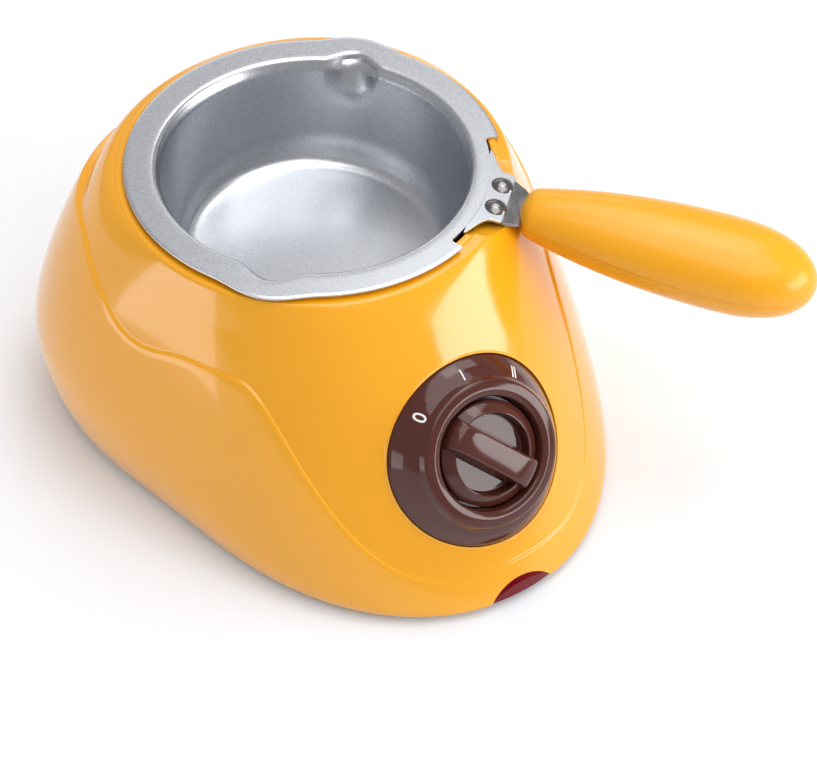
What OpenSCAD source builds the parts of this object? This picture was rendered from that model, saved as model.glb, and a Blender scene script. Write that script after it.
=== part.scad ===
// Electric chocolate melting pot. A moulded housing carries a heated well, a rotary
// switch on its sloping front and a lamp in its nose. A loose aluminium pot with a
// riveted handle hangs in the well. Angles in plan run from the front (-Y) towards +X.

/* [Body] */
// Height of the pot's flange above the table
rim_height = 92; // [86:1:110]
// Width of the housing's rim that shows outside the pot's flange
shoulder_margin = 2.5; // [1.5:0.1:5]
// Drop from the flange's top to the shoulder
shoulder_drop = 2.5; // [2:0.1:4]
// Reach of the nose in front of the pot's axis
nose_reach = 118.8; // [114:0.1:126]
// Reach of the housing to each side
side_reach = 84.8; // [83:0.1:92]
// Reach of the housing behind the pot's axis
back_reach = 77; // [75:0.5:84]
// How much the front cheeks narrow towards the nose
cheek_fullness = 8.9; // [6:0.1:10]
// Height of the widest level at the sides
belly_height = 32.5; // [26:0.5:38]
// How far the sides tuck in at the bottom
foot_tuck = 5.8; // [4:0.1:9]

/* [Housing] */
// Thickness of the moulded wall
wall = 2.4; // [2:0.1:3]
// Height of the shell's lower edge
foot_level = 3; // [2.8:0.1:5]
// Clearance between the pot's spouts and the opening that it hangs in
opening_clear = 1; // [0.7:0.1:1.6]
// Depth of the collar round the opening
collar_depth = 9; // [8:0.5:11]
// Height of the skirt line under the dial
line_front = 12; // [10.5:0.5:14]
// Height of the skirt line at the sides
line_side = 65; // [58:0.5:68]
// Height of the skirt line at the back
line_back = 77; // [72:0.5:78]
// Step of the skirt line at the front
step_front = 0.8; // [0.4:0.1:1.2]
// Step of the skirt line at the sides
step_side = 1.6; // [1:0.1:2]
// Step of the skirt line at the back
step_back = 3; // [2:0.1:3.2]

/* [Dial] */
// Height of the dial's centre above the table
dial_height = 44.6; // [42:0.2:48]
// Radius of the dial plate
dial_radius = 29.6; // [28:0.1:31]
// Depth of the dial's seat under its own plane
seat_depth = 7.5; // [7:0.1:9]
// Radius of the raised ring's outer foot
ring_radius = 22.3; // [21.8:0.1:23]
// Height of the raised ring's crest
ring_height = 7.2; // [6.5:0.1:9]
// Radius of the knob
knob_radius = 16.4; // [15:0.1:16.6]
// Radius of the well round the knob
knob_well_radius = 17.3; // [17:0.1:17.6]
// Height of the grip bar above the dial's plane
bar_height = 10.6; // [10:0.1:13]
// Angle of the off mark, clockwise from the top
off_angle = -42; // [-60:1:-30]
// Radius of the switch shaft
shaft_radius = 3; // [2.5:0.1:3.2]

/* [Lamp] */
// Half width of the lamp's arch at its foot
lamp_half_width = 11.5; // [10:0.5:13]
// Rise of the lamp's arch
lamp_rise = 5.4; // [4.5:0.1:6]

/* [Pot] */
// How far the pot's flange reaches over the opening's edge
flange_cover = 3.5; // [2.5:0.1:4.5]
// Radius of the pot's mouth at the flange
mouth_radius = 49; // [46:0.5:49.5]
// Radius of the pot's inside at its bottom
bottom_radius = 43; // [38:0.5:45]
// Depth of the pot's inside
pot_depth = 38; // [30:0.5:40]
// Thickness of the pot's sheet
sheet = 1; // [0.8:0.1:1.2]
// How far each pouring spout bulges at the mouth
spout_bulge = 4.5; // [3:0.1:4.8]
// How far the flange bulges round each spout
spout_lip = 2.7; // [2:0.1:3]

/* [Handle] */
// Direction of the handle, from +X towards the front
handle_angle = 47.5; // [40:0.5:52]
// Slope of the handle below the horizontal
handle_slope = 6.5; // [4:0.5:8]
// Length of the grip
grip_length = 93.5; // [85:0.5:110]
// Widest half width of the grip
grip_half_width = 16.2; // [14:0.1:18]
// Distance from the pot's flange to the grip's near end
grip_gap = 6.5; // [6:0.5:10]
// Width of the steel bracket at the rivets
bracket_width = 19; // [17:0.5:20]
// Thickness of the steel bracket
bracket_sheet = 1.2; // [1:0.1:1.5]

/* [Heater] */
// Radius of the heating plate
plate_radius = 43; // [40:0.5:44]
// Thickness of the heating plate
plate_thick = 4; // [3:0.5:5]
// Thickness of the well liner's sheet
liner_sheet = 0.8; // [0.6:0.1:1]

/* [Hidden] */
$fn = 48;

// Fits, overruns and fillets
gap = 0.3;
slip = 0.05;
overrun = 1;
reach = 60;

// Colours
orange = "#f5a623";
brown = "#4a241c";
dark = "#2b2b2b";
steel = "#b8bcc2";

// Radii that follow the pot's mouth
opening_radius = mouth_radius + spout_bulge + sheet + opening_clear;
flange_radius = opening_radius + flange_cover;
shoulder_radius = flange_radius + shoulder_margin;
grip_start = flange_radius + grip_gap;
mouth_round = 1.4;
tab_root = mouth_radius + 2 * mouth_round;
tab_flare = 18.5;
bracket_root = opening_radius - slip;

// Plan of the housing, as a mean radius and three waves round it
mean_reach = (nose_reach + back_reach + 2 * side_reach) / 4;
oval_reach = (nose_reach + back_reach - 2 * side_reach) / 4;
lead_reach = (nose_reach - back_reach) / 2 - cheek_fullness;
shoulder_level = rim_height - shoulder_drop;
seat_level = rim_height - sheet;
collar_bottom = seat_level - collar_depth;

// Bow of the profile at the front, the sides and the back, as exponents
blend_share = 2.7;
inner_bow_shares = [1.06, 1.9, 0.67];
outer_bow_shares = [1.11, 0.85, 2.4];

// Where the skirt line climbs, in degrees from the front
climb_shares = [4, 53, 1.7];
back_climb_shares = [82, 118];
deepen_shares = [100, 135];
line_fillet = 2.4;
line_fade = 10;

function smooth(t) = let (s = min(max(t, 0), 1)) s * s * (3 - 2 * s);
function bump(t) = abs(t) < 1 ? pow(cos(90 * t), 2) : 0;
function blend(a, shares) =
    let (front = pow((1 + cos(a)) / 2, blend_share), back = pow((1 - cos(a)) / 2, blend_share))
    shares[1] + (shares[0] - shares[1]) * front + (shares[2] - shares[1]) * back;
function plan_radius(a) =
    mean_reach + lead_reach * cos(a) + oval_reach * cos(2 * a) + cheek_fullness * cos(3 * a);
function widest_level(a) = blend(a, [foot_level, belly_height, belly_height]);
function tuck(a, z) =
    let (w = widest_level(a))
    foot_tuck * pow((w - z) / (w - foot_level), 2) * (w - foot_level) / (belly_height - foot_level);
function climb_share(a, z) =
    (z - widest_level(a)) / (shoulder_level - widest_level(a));
function skin_radius(a, z) = z < widest_level(a)
    ? plan_radius(a) - tuck(a, z)
    : shoulder_radius + (plan_radius(a) - shoulder_radius)
      * pow(max(0, 1 - pow(climb_share(a, z), blend(a, inner_bow_shares))),
            1 / blend(a, outer_bow_shares));
function from_front(a) = abs(a > 180 ? a - 360 : a);
function line_level(a) =
    let (b = from_front(a))
    line_front
    + (line_side - line_front)
      * pow(smooth((b - climb_shares[0]) / (climb_shares[1] - climb_shares[0])), climb_shares[2])
    + (line_back - line_side)
      * smooth((b - back_climb_shares[0]) / (back_climb_shares[1] - back_climb_shares[0]));
function line_step(a) =
    let (b = from_front(a))
    step_front + (step_side - step_front) * smooth(b / climb_shares[1])
    + (step_back - step_side)
      * smooth((b - deepen_shares[0]) / (deepen_shares[1] - deepen_shares[0]));
function outer_radius(a, z) =
    skin_radius(a, z)
    - line_step(a) * smooth((z - line_level(a)) / line_fillet + 1 / 2)
      * min(1, (shoulder_level - z) / line_fade);
function skin_slope(a, z) =
    (skin_radius(a, z + gap) - skin_radius(a, max(foot_level, z - gap)))
    / (z + gap - max(foot_level, z - gap));
function inner_radius(a, z) =
    skin_radius(a, z) - line_step(a) - wall * sqrt(1 + pow(skin_slope(a, z), 2));

// The dial's own frame: its axis leans back with the housing's straight front
dial_tilt = atan((nose_reach - shoulder_radius) / (shoulder_level - foot_level));
dial_setback = 1.5;
dial_y = dial_setback - skin_radius(0, dial_height);
wrap_angle = atan(dial_radius / -dial_y);
side_fall = (-dial_y - skin_radius(wrap_angle, dial_height) * cos(wrap_angle)) * cos(dial_tilt);
front_rise = dial_setback * cos(dial_tilt);
dial_wrap = (front_rise + side_fall) / 2;
dial_mean = (front_rise - side_fall) / 2;
cup_wall = 2.5;
seat_floor = -seat_depth;
cup_bottom = seat_floor - cup_wall;

// The handle's own frame
grip_z = rim_height - 5.2;
fat_share = 0.67;
swell_share = 0.84;
nose_share = 0.055;
slim_share = 0.43;
end_bow_share = 2.6;
grip_flatness_share = 0.85;
function grip_swell(s) = s < fat_share
    ? slim_share + (1 - slim_share) * sin(90 * pow(s / fat_share, swell_share))
    : sqrt(max(0, 1 - pow((s - fat_share) / (1 - fat_share), end_bow_share)));
function grip_close(s) = s < nose_share ? sqrt(max(0, 1 - pow(1 - s / nose_share, 2))) : 1;
function grip_half(s) = grip_half_width * grip_swell(s) * grip_close(s);
function grip_reach(s) = grip_start + s * grip_length * cos(handle_slope);

// The origin is the middle of the bounding box, on the table
plan_steps = [0 : 2 : 180];
grip_shares = [0 : 1 / 64 : 1];
side_limit = max([for (a = plan_steps) plan_radius(a) * sin(a)]);
right_limit = max([for (s = grip_shares)
    grip_reach(s) * cos(handle_angle) + grip_half(s) * sin(handle_angle)]);
front_limit = max([for (s = grip_shares)
    grip_reach(s) * sin(handle_angle) + grip_half(s) * cos(handle_angle)]);
centre_x = (max(right_limit, side_limit) - side_limit) / 2;
centre_y = (back_reach - max(front_limit, nose_reach)) / 2;

// Frames that the pieces are drawn in
module placed() {
    translate([-centre_x, -centre_y, 0]) children();
}
module at_angle(a, r) {
    rotate(a) translate([0, -r, 0]) children();
}
module dial_frame() {
    translate([0, dial_y, dial_height]) rotate([90 - dial_tilt, 0, 0]) children();
}
module handle_frame() {
    rotate(-handle_angle) children();
}
module tang_frame() {
    handle_frame() translate([grip_start, 0, grip_z]) rotate([0, handle_slope, 0]) children();
}

// A closed solid from rings of points. Each ring has the same count; a loft of rings
// that closes on itself has no end caps.
function loft_faces(rings, count, closed) = concat(
    [for (i = [0 : rings - (closed ? 1 : 2)], j = [0 : count - 1])
        let (a = i * count + j, b = i * count + (j + 1) % count,
             c = ((i + 1) % rings) * count + j, d = ((i + 1) % rings) * count + (j + 1) % count)
        each [[a, b, d], [a, d, c]]],
    closed ? [] : [[for (j = [count - 1 : -1 : 0]) j],
                   [for (j = [0 : count - 1]) (rings - 1) * count + j]]);
module loft(points, closed = false) {
    polyhedron([for (ring = points) each ring],
               loft_faces(len(points), len(points[0]), closed), convexity = 10);
}

// A turned profile whose points may follow the saddle that the dial's rim cuts in the
// housing. Each point is [radius, height, share of the saddle].
module saddle_lathe(profile, sides = 56) {
    loft([for (i = [0 : sides - 1])
        let (a = 360 * i / sides)
        [for (p = profile) [p[0] * cos(a), p[0] * sin(a),
                            p[1] + p[2] * (dial_mean - dial_wrap * cos(2 * a))]]], true);
}

// Housing
shell_sides = 84;
low_rings = 7;
high_rings = 12;
inner_rings = 8;
rim_round = 1.2;
function shell_loop(a) =
    let (low = line_level(a) - line_fillet / 2, high = line_level(a) + line_fillet / 2)
    concat(
        [for (k = [0 : low_rings])
            let (z = foot_level + (low - foot_level) * k / low_rings) [outer_radius(a, z), z]],
        [[outer_radius(a, line_level(a)), line_level(a)]],
        [for (k = [0 : high_rings])
            let (z = high + (shoulder_level - high) * k / high_rings) [outer_radius(a, z), z]],
        [[shoulder_radius - rim_round, seat_level - rim_round / 2],
         [shoulder_radius - 2 * rim_round, seat_level],
         [opening_radius + rim_round / 2, seat_level],
         [opening_radius, seat_level - rim_round / 2],
         [opening_radius, collar_bottom]],
        [for (k = [0 : inner_rings])
            let (z = collar_bottom + (foot_level - collar_bottom) * k / inner_rings)
            [inner_radius(a, z), z]]);
module shell() {
    loft([for (i = [0 : shell_sides - 1])
        let (a = 360 * i / shell_sides)
        [for (p = shell_loop(a)) [p[0] * sin(a), -p[0] * cos(a), p[1]]]], true);
}

cup_gap = 0.25;
module dial_cup() {
    outer = dial_radius + cup_gap + cup_wall;
    saddle_lathe([[dial_radius, cup_bottom, 0], [outer, cup_bottom, 0], [outer, -wall, 1],
                  [dial_radius, -wall, 1]], 48);
    translate([0, 0, cup_bottom]) cylinder(r = outer - cup_wall / 2, h = cup_wall);
}

boss_radius = 4;
boss_height = 15;
boss_rib = 2;
boss_clear = 0.8;
pilot_radius = 1.3;
screw_angles = [40, 140, 220, 320];
function boss_reach(a) = inner_radius(a, foot_level) - boss_radius - boss_clear;
function rib_reach(a) = wall / 2 - boss_reach(a)
    + min(inner_radius(a, lip_top + boss_height / 3), inner_radius(a, lip_top + boss_height));
module screw_bosses() {
    for (a = screw_angles) {
        at_angle(a, boss_reach(a)) {
            translate([0, 0, lip_top]) cylinder(r = boss_radius, h = boss_height);
            translate([-boss_rib / 2, -rib_reach(a), lip_top + boss_height / 3])
                cube([boss_rib, rib_reach(a), 2 * boss_height / 3]);
        }
    }
}

gland_height = 16;
gland_radius = 4.6;
gland_flange = 7;
gland_bore = 3.3;
gland_neck = 4;
gland_lip = 1.6;
gland_face = back_reach - foot_tuck / 2 - gland_lip;
gland_boss = 2;
module gland_frame() {
    translate([0, gland_face, gland_height]) rotate([-90, 0, 0]) children();
}

dip_radius = 40;
dip_depth = 6;
dip_inset = 4;
lamp_arch_radius = (lamp_half_width * lamp_half_width + lamp_rise * lamp_rise) / (2 * lamp_rise);
lamp_arch_z = foot_level + lamp_rise - lamp_arch_radius;
lamp_depth = 14;
module lamp_arch(r, depth) {
    translate([0, -nose_reach - overrun, lamp_arch_z]) rotate([-90, 0, 0])
        cylinder(r = r, h = depth, $fn = 96);
}

liner_screw_angles = [60, 180, 300];
liner_screw_reach = opening_radius + 2.6;
small_pilot = 1;
module housing() {
    color(orange) placed() difference() {
        union() {
            shell();
            dial_frame() dial_cup();
            screw_bosses();
            gland_frame() translate([0, 0, -gland_neck]) cylinder(r = gland_flange + gland_boss,
                                                                 h = gland_neck - gland_lip);
        }
        dial_frame() translate([0, 0, seat_floor]) cylinder(r = dial_radius + cup_gap, h = reach, $fn = 96);
        dial_frame() translate([0, 0, cup_bottom - overrun])
            cylinder(r = bush_radius + slip, h = cup_wall + 2 * overrun);
        lamp_arch(lamp_arch_radius, lamp_depth);
        for (a = screw_angles) {
            at_angle(a, boss_reach(a)) translate([0, 0, lip_top - overrun])
                cylinder(r = pilot_radius, h = boss_height);
        }
        for (a = liner_screw_angles) {
            at_angle(a, liner_screw_reach) translate([0, 0, collar_bottom - overrun])
                cylinder(r = small_pilot, h = liner_screw_length + overrun);
        }
        gland_frame() translate([0, 0, -reach / 2]) cylinder(r = gland_radius + slip, h = reach);
        gland_frame() cylinder(r = gland_flange + gap, h = reach / 2);
        gland_frame() translate([0, 0, -gland_neck - reach / 4])
            cylinder(r = gland_flange + gap, h = reach / 4);
        handle_frame() translate([opening_radius - dip_inset, 0, rim_height - dip_depth + dip_radius])
            rotate([0, 90, 0]) cylinder(r = dip_radius, h = reach / 4, $fn = 120);
    }
}

// Base cover
plate_bottom = 1;
edge_inset = 2.4;
lip_height = 3;
lip_wall = 1.6;
lip_top = foot_level + lip_height;
base_sides = 84;
foot_radius = 6;
foot_recess = 1;
foot_height = plate_bottom + foot_recess;
foot_angles = [30, -30, 150, -150];
foot_inset = 14;
head_radius = 2.9;
head_height = 1.6;
base_screw_radius = 1.5;
base_screw_length = 12;
// The wall runs straight from its lower edge to the first ring above it
first_ring = foot_level + (collar_bottom - foot_level) / inner_rings;
function lip_radius(a) =
    let (low = inner_radius(a, foot_level), high = inner_radius(a, first_ring))
    min(low, low + (high - low) * lip_height / (first_ring - foot_level));
function plan_outline(inset, inner) = [for (i = [0 : base_sides - 1])
    let (a = 360 * i / base_sides, r = (inner ? lip_radius(a) : outer_radius(a, foot_level)) - inset)
    [r * sin(a), -r * cos(a)]];
module plan_plate(inset, inner, h) {
    linear_extrude(height = h) polygon(plan_outline(inset, inner));
}
function foot_reach(a) = outer_radius(a, foot_level) - foot_inset;
module base_cover() {
    color(dark) placed() difference() {
        union() {
            translate([0, 0, plate_bottom]) plan_plate(edge_inset, false, foot_level - plate_bottom);
            difference() {
                translate([0, 0, foot_level - gap]) plan_plate(gap, true, lip_height + gap - slip);
                translate([0, 0, foot_level - overrun]) plan_plate(gap + lip_wall, true, reach);
                translate([-lamp_half_width - gap, -nose_reach - overrun, foot_level])
                    cube([2 * (lamp_half_width + gap), nose_reach / 2, reach]);
            }
            for (a = screw_angles) {
                at_angle(a, boss_reach(a)) translate([0, 0, foot_level - gap])
                    cylinder(r = boss_radius, h = lip_height + gap - slip);
            }
        }
        for (a = foot_angles) {
            at_angle(a, foot_reach(a)) translate([0, 0, plate_bottom - overrun])
                cylinder(r = foot_radius + slip, h = foot_recess + overrun);
        }
        for (a = screw_angles) {
            at_angle(a, boss_reach(a)) {
                translate([0, 0, plate_bottom - overrun])
                    cylinder(r = base_screw_radius + 2 * slip, h = reach);
                translate([0, 0, plate_bottom - overrun]) cylinder(r = head_radius + 2 * slip,
                                                                   h = head_height + overrun);
            }
        }
    }
}
foot_ring = 1;
module foot(a) {
    color(dark) placed() at_angle(a, foot_reach(a)) rotate_extrude()
        polygon([[0, 0], [foot_radius - foot_ring, 0], [foot_radius, foot_ring],
                 [foot_radius, foot_height], [0, foot_height]]);
}
module foot_front_left() foot(foot_angles[1]);
module foot_front_right() foot(foot_angles[0]);
module foot_rear_left() foot(foot_angles[3]);
module foot_rear_right() foot(foot_angles[2]);

// A screw that stands head down, with a cross recess in its head
cross_share = 0.6;
module screw(shank, head, head_h, length) {
    difference() {
        union() {
            cylinder(r = head, h = head_h);
            cylinder(r = shank, h = head_h + length);
        }
        for (turn = [0, 90]) {
            rotate(turn) translate([-head * cross_share, -head_h / 5, -overrun])
                cube([2 * head * cross_share, head_h * 2 / 5, overrun + head_h / 2]);
        }
    }
}
module base_screws() {
    color(steel) placed() for (a = screw_angles) {
        at_angle(a, boss_reach(a)) translate([0, 0, plate_bottom])
            screw(pilot_radius - slip, head_radius, head_height - slip, base_screw_length);
    }
}

// Well liner and heater stack
pot_bottom = rim_height - pot_depth - sheet;
plate_top = pot_bottom - gap;
plate_under = plate_top - plate_thick;
liner_floor = plate_under - liner_sheet;
liner_clear = 1.1;
liner_radius = opening_radius - liner_clear;
liner_flange = opening_radius + 5;
liner_hole = 36;
plate_screw_reach = 39.5;
plate_screw_radius = 1.5;
plate_screw_depth = 2.5;
plate_screw_angles = [30, 150, 270];
liner_screw_length = 6;
liner_screw_radius = 1.2;
liner_head = 2.3;
liner_head_height = 1.4;
module well_liner() {
    color(steel) placed() difference() {
        rotate_extrude($fn = 96) polygon([
            [liner_hole, liner_floor], [liner_radius, liner_floor],
            [liner_radius, collar_bottom - liner_sheet], [liner_flange, collar_bottom - liner_sheet],
            [liner_flange, collar_bottom], [liner_radius - liner_sheet, collar_bottom],
            [liner_radius - liner_sheet, plate_under], [liner_hole, plate_under]]);
        for (a = liner_screw_angles) {
            at_angle(a, liner_screw_reach) translate([0, 0, collar_bottom - 2 * liner_sheet])
                cylinder(r = liner_screw_radius + slip, h = 3 * liner_sheet);
        }
        for (a = plate_screw_angles) {
            at_angle(a, plate_screw_reach) translate([0, 0, liner_floor - liner_sheet])
                cylinder(r = plate_screw_radius + 2 * slip, h = 3 * liner_sheet);
        }
    }
}
module liner_screws() {
    color(steel) placed() for (a = liner_screw_angles) {
        at_angle(a, liner_screw_reach)
            translate([0, 0, collar_bottom - liner_sheet - liner_head_height])
            screw(small_pilot - slip, liner_head, liner_head_height, liner_screw_length);
    }
}
stud_radius = 2;
stack_radius = 33;
mica_thick = 0.8;
element_thick = 2;
clamp_thick = 1.2;
nut_height = 3.2;
nut_radius = 4;
edge_round = 1;
stud_length = liner_sheet + element_thick + clamp_thick + nut_height + overrun;
mica_under = plate_under - mica_thick;
element_under = mica_under - element_thick;
clamp_under = element_under - clamp_thick;
module heating_plate() {
    color("silver") placed() difference() {
        union() {
            translate([0, 0, plate_under]) rotate_extrude($fn = 96) polygon([
                [0, 0], [plate_radius, 0], [plate_radius, plate_thick - edge_round],
                [plate_radius - edge_round, plate_thick], [0, plate_thick]]);
            translate([0, 0, plate_under - stud_length])
                cylinder(r = stud_radius, h = stud_length + edge_round);
        }
        for (a = plate_screw_angles) {
            at_angle(a, plate_screw_reach) translate([0, 0, plate_under - overrun])
                cylinder(r = plate_screw_radius, h = plate_screw_depth + overrun + gap);
        }
    }
}
module plate_screws() {
    color(steel) placed() for (a = plate_screw_angles) {
        at_angle(a, plate_screw_reach) translate([0, 0, liner_floor - head_height])
            screw(plate_screw_radius - slip, head_radius, head_height,
                  liner_sheet + plate_screw_depth);
    }
}
module washer(r, hole, h) {
    difference() {
        cylinder(r = r, h = h);
        translate([0, 0, -overrun]) cylinder(r = hole, h = h + 2 * overrun);
    }
}
module insulation_disc() {
    color("wheat") placed() translate([0, 0, mica_under])
        washer(stack_radius + edge_round, stud_radius + slip, mica_thick);
}
blade = [6.3, 0.8, 9];
blade_reach = 24;
blade_angles = [60, 120];
blade_slot = 1.2;
module element_blades(grow, h) {
    for (a = blade_angles) {
        at_angle(a, blade_reach) translate([-blade[0] / 2 - grow, -blade[1] / 2 - grow, -h])
            cube([blade[0] + 2 * grow, blade[1] + 2 * grow, h]);
    }
}
module heating_element() {
    color("#5a5148") placed() union() {
        translate([0, 0, element_under]) washer(stack_radius, stud_radius + slip, element_thick);
        translate([0, 0, element_under + element_thick / 2])
            element_blades(0, blade[2] + clamp_thick + element_thick / 2);
    }
}
module clamp_plate() {
    color(steel) placed() difference() {
        translate([0, 0, clamp_under]) washer(stack_radius - edge_round, stud_radius + slip, clamp_thick);
        translate([0, 0, element_under + overrun]) element_blades(blade_slot, clamp_thick + 2 * overrun);
    }
}
module clamp_nut() {
    color("silver") placed() translate([0, 0, clamp_under - nut_height]) difference() {
        cylinder(r = nut_radius, h = nut_height, $fn = 6);
        translate([0, 0, -overrun]) cylinder(r = stud_radius + slip, h = nut_height + 2 * overrun);
    }
}
stat_radius = 8;
stat_height = 6.5;
stat_cap = 6.5;
stat_reach = 18;
stat_flange = 1.5;
module thermostat() {
    color("#3a3a3a") placed() at_angle(180, stat_reach) union() {
        translate([0, 0, clamp_under - stat_flange]) cylinder(r = stat_radius, h = stat_flange);
        translate([0, 0, clamp_under - stat_height]) cylinder(r = stat_cap, h = stat_height);
        for (side = [-1, 1]) {
            translate([side * stat_cap / 2 - blade[0] / 4, -blade[1] / 2,
                       clamp_under - stat_height - blade[2] / 2])
                cube([blade[0] / 2, blade[1], blade[2]]);
        }
    }
}
fuse_radius = 2;
fuse_length = 12;
fuse_reach = 17;
module thermal_fuse() {
    color("ivory") placed() at_angle(270, fuse_reach) union() {
        translate([0, -fuse_length / 2, clamp_under - fuse_radius]) rotate([-90, 0, 0])
            cylinder(r = fuse_radius, h = fuse_length);
        translate([-fuse_radius - edge_round, -fuse_length / 5, clamp_under - edge_round])
            cube([2 * (fuse_radius + edge_round), fuse_length * 2 / 5, edge_round]);
    }
}

// Dial plate, rotary switch and knob
plate_floor = 1;
plate_floor_under = -1.5;
cone_top = 5.6;
rim_round_share = 0.35;
skirt_wall = 2.4;
bush_radius = 4.9;
bush_length = 6.8;
switch_size = [28, 28, 16];
switch_corner = 4;
tag = [4.8, 0.8, 6];
tag_pitch = 8;
nut_across = 16;
panel_nut_height = 2.4;
shaft_end = 6.5;
shaft_flat = 0.8;
shaft_depth = 12;
module dial_plate() {
    color(brown) placed() dial_frame() union() {
        saddle_lathe([
            [dial_radius, seat_floor, 0],
            [dial_radius, -rim_round_share * skirt_wall, 1],
            [dial_radius - rim_round_share * skirt_wall, 0, 1],
            [ring_radius + skirt_wall / 2, cone_top - skirt_wall / 5, 0],
            [ring_radius, cone_top + skirt_wall / 8, 0],
            [ring_radius - skirt_wall / 4, ring_height - skirt_wall / 4, 0],
            [(ring_radius + knob_well_radius) / 2, ring_height, 0],
            [knob_well_radius + skirt_wall / 3, ring_height - skirt_wall / 4, 0],
            [knob_well_radius, cone_top, 0],
            [knob_well_radius, plate_floor, 0],
            [knob_well_radius - edge_round, plate_floor, 0],
            [knob_well_radius - edge_round, plate_floor_under, 0],
            [knob_well_radius + skirt_wall, plate_floor_under, 0],
            [knob_well_radius + skirt_wall, cone_top - skirt_wall, 0],
            [dial_radius - skirt_wall, plate_floor_under - skirt_wall / 2, 0],
            [dial_radius - skirt_wall, seat_floor, 0]]);
        translate([0, 0, plate_floor_under])
            washer(knob_well_radius - edge_round / 2, bush_radius + gap, plate_floor - plate_floor_under);
    }
}
module switch_body() {
    color(dark) placed() dial_frame() difference() {
        union() {
            translate([0, 0, cup_bottom - switch_size[2]]) linear_extrude(height = switch_size[2])
                intersection() {
                    square([switch_size[0], switch_size[1]], center = true);
                    rotate(45) square((switch_size[0] - switch_corner / 2) * sqrt(2), center = true);
                }
            translate([0, 0, cup_bottom - edge_round])
                cylinder(r = bush_radius, h = bush_length + edge_round);
            for (k = [-1, 0, 1]) {
                translate([k * tag_pitch - tag[0] / 2, -tag[1] / 2, cup_bottom - switch_size[2] - tag[2]])
                    cube([tag[0], tag[1], tag[2] + edge_round]);
            }
        }
        translate([0, 0, cup_bottom - shaft_depth]) cylinder(r = shaft_radius + slip, h = reach);
    }
}
module switch_nut() {
    color("silver") placed() dial_frame() translate([0, 0, seat_floor]) difference() {
        cylinder(r = nut_across / sqrt(3), h = panel_nut_height, $fn = 6);
        translate([0, 0, -overrun]) cylinder(r = bush_radius + slip, h = reach);
    }
}
module d_section(r) {
    difference() {
        circle(r = r);
        translate([r - shaft_flat, -r]) square(2 * r);
    }
}
module switch_shaft() {
    color("silver") placed() dial_frame() rotate(-off_angle)
        translate([0, 0, cup_bottom - shaft_depth + gap]) union() {
            cylinder(r = shaft_radius, h = shaft_depth + bush_length);
            linear_extrude(height = shaft_end - cup_bottom + shaft_depth - gap) d_section(shaft_radius);
        }
}
knob_top = 8;
knob_brim = 5;
knob_under = plate_floor + gap;
knob_rim = 3.8;
pocket_floor = 3.6;
bar_base_half = 5.6;
bar_top_half = 4.1;
bar_end = 2.4;
bar_bow_shares = [0.82, 0.94, 0.98];
function bar_bow(side) = [
    [side * knob_radius, knob_brim],
    [side * (knob_radius - bar_end / 3), bar_height * bar_bow_shares[0]],
    [side * (knob_radius - bar_end), bar_height * bar_bow_shares[1]],
    [side * knob_radius / 2, bar_height * bar_bow_shares[2]],
    [0, bar_height]];
module knob() {
    color(brown) placed() dial_frame() rotate(-off_angle) difference() {
        union() {
            difference() {
                rotate_extrude($fn = 96) polygon([
                    [0, knob_under], [knob_radius, knob_under], [knob_radius, knob_brim - edge_round / 2],
                    [knob_radius - edge_round / 2, knob_brim],
                    [knob_radius - knob_rim + edge_round / 2, knob_top], [0, knob_top]]);
                translate([0, 0, pocket_floor]) cylinder(r = knob_radius - knob_rim, h = reach, $fn = 96);
            }
            intersection() {
                translate([0, knob_radius, 0]) rotate([90, 0, 0]) linear_extrude(height = 2 * knob_radius)
                    polygon([[-bar_base_half, knob_under], [bar_base_half, knob_under],
                             [bar_base_half, pocket_floor], [bar_top_half, bar_height],
                             [-bar_top_half, bar_height], [-bar_base_half, pocket_floor]]);
                translate([-knob_radius, 0, 0]) rotate([90, 0, 90]) linear_extrude(height = 2 * knob_radius)
                    polygon(concat([[-knob_radius, knob_under], [knob_radius, knob_under]],
                                   bar_bow(1), [for (k = [len(bar_bow(1)) - 2 : -1 : 0]) bar_bow(-1)[k]]));
                cylinder(r = knob_radius - slip, h = reach, $fn = 96);
            }
        }
        translate([0, 0, -overrun]) linear_extrude(height = shaft_end + gap + overrun)
            d_section(shaft_radius + slip);
    }
}

// Lamp
lens_setback = 0.8;
lens_thick = 2.6;
lens_curve = 62;
lens_clear = 0.2;
lamp_radius = 2.4;
lamp_length = 9;
lamp_back = 13;
lamp_z = foot_level + lamp_radius + 2;
holder_size = [11, 7, 3.4];
module lamp_lens() {
    color("#7a1020") placed() intersection() {
        translate([0, lens_curve + lens_setback - nose_reach, foot_level]) difference() {
            cylinder(r = lens_curve, h = reach / 4, $fn = 180);
            translate([0, 0, -overrun]) cylinder(r = lens_curve - lens_thick, h = reach, $fn = 180);
        }
        lamp_arch(lamp_arch_radius - lens_clear, lamp_depth);
    }
}
module neon_lamp() {
    color("#ffd9c0") placed() translate([-lamp_length / 2, lamp_back - nose_reach, lamp_z])
        rotate([0, 90, 0]) rotate_extrude() polygon([[0, 0], [lamp_radius * 2 / 3, 0], [lamp_radius, lamp_radius / 2],
                                  [lamp_radius, lamp_length - lamp_radius],
                                  [lamp_radius / 2, lamp_length], [0, lamp_length]]);
}
module lamp_holder() {
    color("ivory") placed() difference() {
        translate([-holder_size[0] / 2, lamp_back - nose_reach - holder_size[1] / 2, foot_level])
            cube(holder_size);
        translate([-holder_size[0], lamp_back - nose_reach, lamp_z]) rotate([0, 90, 0])
            cylinder(r = lamp_radius + slip, h = 2 * holder_size[0]);
    }
}

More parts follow.
